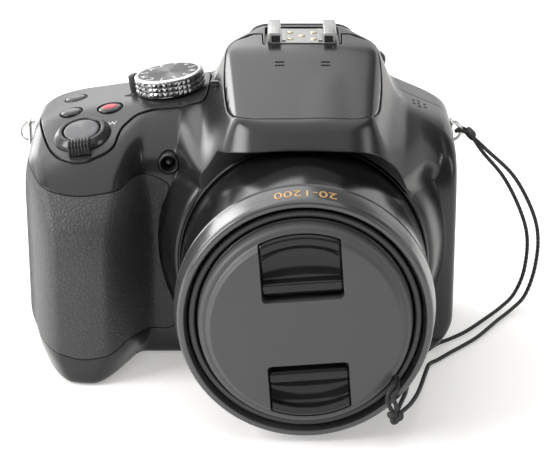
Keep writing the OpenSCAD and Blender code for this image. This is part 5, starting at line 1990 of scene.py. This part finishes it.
@dataclass
class RearControls:
    """The screen, the finder with its eyecup, and the keys, pad and dials on the back."""

    screen_at: tuple[float, float] = (4, 34.5)
    finder_at: tuple[float, float] = (0, 78)
    keys: tuple = (
        ("lock_button", -43.0, 66.0), ("finder_button", -32.5, 66.5), ("playback_button", -42.0, 50.0),
        ("display_button", -42.0, 12.0), ("quick_menu_button", -65.0, 13.0),
    )
    key_radius: float = 3.2
    pad: tuple[float, float, float] = (-54.0, 31.0, 9.4)
    centre_radius: float = 4.2
    tooth_depth: float = 0.4

    @classmethod
    def key_places(cls) -> list[tuple[float, float, float]]:
        """Place and radius of every round key and of the cursor pad."""
        return [(x, z, cls.key_radius) for _, x, z in cls.keys] + [cls.pad]

    def build(self) -> None:
        """Makes everything on the back."""
        for name, x, z in self.keys:
            stand_in(self.key(rear_axes(x, z), self.key_radius), name, KEY, sharp=30)
        pad = rear_axes(*self.pad[:2])
        stand_in(self.ring_pad(pad), "cursor_pad", KEY, sharp=30)
        deliver(self.arrows(pad), "cursor_marks", PRINT, "cursor_pad")
        stand_in(self.key(pad, self.centre_radius), "centre_button", BUTTON, sharp=30)
        stand_in(self.screen(), "screen_glass", SCREEN, "camera")
        deliver(self.screen_rim(), "screen_rim", INSIDE, "camera")
        stand_in(self.eyecup(), "eyecup", RUBBER, "camera", sharp=40)
        stand_in(self.eyepiece(), "eyepiece_lens", GLASS, "camera", sharp=40)
        stand_in(self.thumb_rest(), "thumb_rest", RUBBER, "camera")
        wheel = Axes((-62, 21.5, 57.05))
        stand_in(self.wheel(wheel, radius=8.5, thick=4.9, teeth=44), "rear_dial", DIAL, sharp=26)
        diopter = Axes((23.5, 20.6, 81.0), (-1, 0, 0), (0, 0, 1), (0, 1, 0))
        small = self.wheel(diopter, radius=3.0, thick=2.8, teeth=22)
        stand_in(small, "diopter_wheel", DIAL, sharp=26)

    def key(self, axes: Axes, radius: float) -> Solid:
        """A round key with a low crown.

        Args:
            axes: The local frame.
            radius: Outer radius.
        Returns:
            The closed surface.
        """
        crown = ((0, 28.3), (radius * 0.6, 28.22), (radius - 0.35, 28.0))
        profile = (*crown, (radius, 27.6), (radius, 25.0), (0, 25.0))
        return revolve(rounded(profile, 0.3, closed=False), axes, 96, closed=False)

    def ring_pad(self, axes: Axes) -> Solid:
        """The cursor pad: a ring that dips in towards its centre key.

        Args:
            axes: The local frame.
        Returns:
            The closed surface.
        """
        rim = ((4.6, 25.0), (9.4, 25.0), (9.4, 27.7), (8.9, 28.15))
        profile = (*rim, (6.6, 27.85), (5.0, 27.6), (4.6, 27.3))
        return revolve(rounded(profile, 0.3), axes, 128)

    def arrows(self, axes: Axes) -> Solid:
        """Four small arrowheads on the cursor pad.

        Args:
            axes: The local frame.
        Returns:
            The closed surface.
        """
        head = rounded(((-0.8, 6.7), (0.8, 6.7), (0.0, 7.8)), 0.12, steps=3)
        marks = []
        for k in range(4):
            c, s = math.cos(k * math.pi / 2), math.sin(k * math.pi / 2)
            marks.append(slab(head @ np.array(((c, s), (-s, c))), 27.7, 28.12, axes, 0.03))
        return joined(marks)

    def screen(self) -> Solid:
        """The cover glass, with a fine bevel."""
        return slab(oblong(-36.0, 36.0, -27.0, 27.0, 1.6), 24.9, 26.95, rear_axes(*self.screen_at), 0.25)

    def screen_rim(self) -> Solid:
        """The thin frame round the cover glass: a loop with a rounded section.

        Returns:
            The closed surface.
        """
        outline = oblong(-36.9, 36.9, -27.9, 27.9, 2.2)
        section = ((-0.85, 26.2), (-0.8, 27.1), (-0.5, 27.35), (0.3, 27.35), (0.8, 27.0), (0.8, 26.2))
        rings = [(offset(outline, d), h) for d, h in section]
        return stack(rings, rear_axes(*self.screen_at), closed=True)

    def eyecup(self) -> Solid:
        """A rubber hood round the finder: rounded rectangles that go out, over the rim and back in.

        Returns:
            The closed surface.
        """
        sizes = (
            (17.0, 10.2, 26.2), (17.8, 10.9, 27.4), (17.4, 10.5, 29.5), (17.2, 10.3, 33.5),
            (17.9, 10.9, 35.6), (17.8, 10.8, 36.7), (16.9, 10.0, 37.15), (15.6, 8.9, 36.9),
            (13.4, 7.9, 34.6), (12.2, 7.2, 31.2), (10.4, 6.4, 30.9), (9.3, 5.7, 30.6), (9.3, 5.7, 26.2),
        )
        rings = [(oblong(-a, a, -b, b, b * 0.75, 12), h) for a, b, h in sizes]
        return stack(rings, rear_axes(*self.finder_at), closed=True)

    def eyepiece(self) -> Solid:
        """The finder's eye lens: a rounded rectangle with a low crown.

        Returns:
            The closed surface.
        """
        sizes = ((8.7, 5.2, 25.5), (8.7, 5.2, 29.6), (8.2, 4.7, 30.0), (5.5, 3.0, 30.3), (2.0, 1.0, 30.4))
        rings = [(oblong(-a, a, -b, b, 1.6), h) for a, b, h in sizes]
        return stack(rings, rear_axes(*self.finder_at))

    def thumb_rest(self) -> Solid:
        """A soft ribbed pad: y = 26.9 + 1.25 * sqrt(edge) * (0.86 + 0.14 * sin(2 pi (z - 27) / 3.25)).

        Returns:
            The closed surface.
        """
        x = np.linspace(-75.0, -67.0, 60)[:, None]
        z = np.linspace(27.0, 53.0, 90)[None]
        across = np.clip(1 - np.abs(x + 71) ** 6 / 4.0**6, 0, 1)
        edge = across * np.clip(1 - np.abs(z - 40) ** 10 / 13.0**10, 0, 1)
        y = 26.9 + 1.25 * np.sqrt(edge) * (0.86 + 0.14 * np.sin(FULL_TURN * (z - 27) / 3.25))
        top = np.stack((x + 0 * z, y, z + 0 * x), -1)
        under = np.stack((top[:, ::-1, 0], np.full_like(y, 26.4), top[:, ::-1, 2]), -1)
        return skin(np.concatenate((top, under), 1))

    def wheel(self, axes: Axes, radius: float, thick: float, teeth: int) -> Solid:
        """A thumb wheel: r = R - depth * (1 - min(1.7 * zigzag(teeth), 1)) between two bevels.

        Args:
            axes: The local frame.
            radius: Outer radius.
            thick: Thickness.
            teeth: Number of teeth.
        Returns:
            The closed surface.
        """
        t = np.arange(teeth * 8) * FULL_TURN / (teeth * 8)
        tooth = np.minimum(zigzag(teeth * t / FULL_TURN) * 1.7, 1)
        rise = ((1.2, 0.0, 0), (0.5, 0.0, 0), (0.12, 0.35, 1), (0.0, 0.6, 1))
        rows = rise + tuple((d, thick - h, on) for d, h, on in rise[::-1])
        drop, height, on = (np.array(c, float)[:, None] for c in zip(*rows))
        r = radius - drop - self.tooth_depth * on * (1 - tooth)
        return skin(axes.place(np.stack((r * np.cos(t), r * np.sin(t), height + 0 * t), -1)))


@dataclass
class Fittings:
    """The strap lugs, the focus lamp and the battery latch."""

    lug_y: float = 9.0
    lug_z: float = 61.6
    lug_radius: float = 3.0
    wire: float = 0.65
    right_side: float = 46.2
    left_side: float = -84.0
    groove_pitch: float = 2.0
    groove_depth: float = 0.35
    lamp_place: tuple[float, float] = (-39.7, 61.5)

    def build(self) -> None:
        """Makes the small metal and lamp pieces."""
        right = self.lug(self.right_side, 1.0)
        left = self.lug(self.left_side, -1.0)
        stand_in(right + left, "strap_lugs", STEEL, "camera", sharp=40)
        deliver(self.lamp_ring(), "lamp_ring", CASE, "camera", sharp=30)
        stand_in(self.lamp(), "af_lamp", LAMP, "camera", sharp=30)
        stand_in(self.latch(), "battery_door_latch", KEY)
        deliver(self.socket_plate(), "socket_plate", INSIDE, "camera")
        deliver(self.socket_mouths(), "socket_mouths", STEEL, "camera")

    def socket_plate(self) -> Solid:
        """The plate behind the terminal door that carries the two sockets."""
        return slab(oblong(7.4, 21.4, 18.6, 49.4, 1.0), 41.05, 41.3, RIGHT_AXES, 0.05)

    def socket_mouths(self) -> Solid:
        """The metal mouths of the sockets: two rounded loops with a square section.

        Returns:
            The closed surface.
        """
        section = ((0.0, 41.2), (0.45, 41.2), (0.45, 41.55), (0.0, 41.55))
        mouths = []
        for middle, half in ((41.0, 3.4), (28.0, 4.0)):
            loop = oblong(12.9, 16.3, middle - half, middle + half, 0.8)
            mouths.append(stack([(offset(loop, d), h) for d, h in section], RIGHT_AXES, closed=True))
        return joined(mouths)

    def lug(self, x: float, sign: float) -> Solid:
        """A strap staple: a half ring of wire, upright across the strap, on a small plate.

        Args:
            x: The case's side.
            sign: 1 for one side, -1 for the mirrored one.
        Returns:
            The closed surface.
        """
        t = np.linspace(-math.pi / 2, math.pi / 2, 41)
        across = x + sign * (0.4 + self.lug_radius * np.cos(t))
        path = np.stack((across, self.lug_y + 0 * t, self.lug_z + self.lug_radius * np.sin(t)), -1)
        foot = np.array(((-1.6 * sign, 0, 0),))
        path = np.vstack((path[:1] + foot, path, path[-1:] + foot))
        low, high = sorted((0.0, 0.7 * sign))
        axes = RIGHT_AXES.shifted(self.lug_y, self.lug_z, x)
        return tube(path, self.wire, 16) + slab(oblong(-2.9, 2.9, -3.9, 3.9, 1.2), low, high, axes, 0.2, 0.2)

    def lamp_ring(self) -> Solid:
        """The raised ring round the focus lamp."""
        profile = ((1.75, 18.5), (3.05, 18.5), (3.05, 21.8), (2.8, 22.5), (2.5, 22.5), (1.75, 20.6))
        return revolve(rounded(profile, 0.25), front_axes(*self.lamp_place), 96)

    def lamp(self) -> Solid:
        """The lamp's lens: a low dome."""
        profile = ((0, 20.6), (0.7, 20.5), (1.3, 20.2), (1.72, 19.7), (1.72, 18.6), (0, 18.6))
        return revolve(rounded(profile, 0.3, closed=False), front_axes(*self.lamp_place), 64, closed=False)

    def latch(self) -> Solid:
        """The sliding latch of the battery door, with four grooves for the nail.

        Returns:
            The closed surface.
        """
        low, high = (np.array(c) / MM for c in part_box("battery_door_latch"))
        x = np.linspace(low[0], high[0], 81)[:, None]
        section = oblong(low[1], high[1], low[2], high[2], 0.2, 4)
        pitch, depth = self.groove_pitch, self.groove_depth
        groove = depth * np.clip(1 - np.abs((x - low[0]) % pitch - pitch / 2) / depth, 0, 1)
        lower = section[None, :, 1] < low[2] + 0.15
        z = section[None, :, 1] + groove * lower
        return skin(np.stack((x + 0 * z, section[None, :, 0] + 0 * z, z), -1))


def dress_carried(frame: dict) -> None:
    """Gives the CAD nodes that stay as they are a finish of their own.

    Args:
        frame: The loaded frame.
    """
    for finish, *names in CARRIED_NODES:
        for name in names:
            obj = frame["nodes"][name]
            obj.data.materials.clear()
            obj.data.materials.append(finish.material())
            LOG.info("%s keeps its CAD mesh in %s", name, finish.name)


def main() -> None:
    """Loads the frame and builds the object's sub-assemblies in order."""
    logging.basicConfig(level=logging.INFO, format="%(message)s")
    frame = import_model()
    assemblies = (Studio, CapCord, Housing, Lens, Cap, Flash, TopControls, HotShoe, RearControls, Fittings)
    for assembly in assemblies:
        assembly().build()
    dress_carried(frame)


if __name__ == "__main__":
    main()
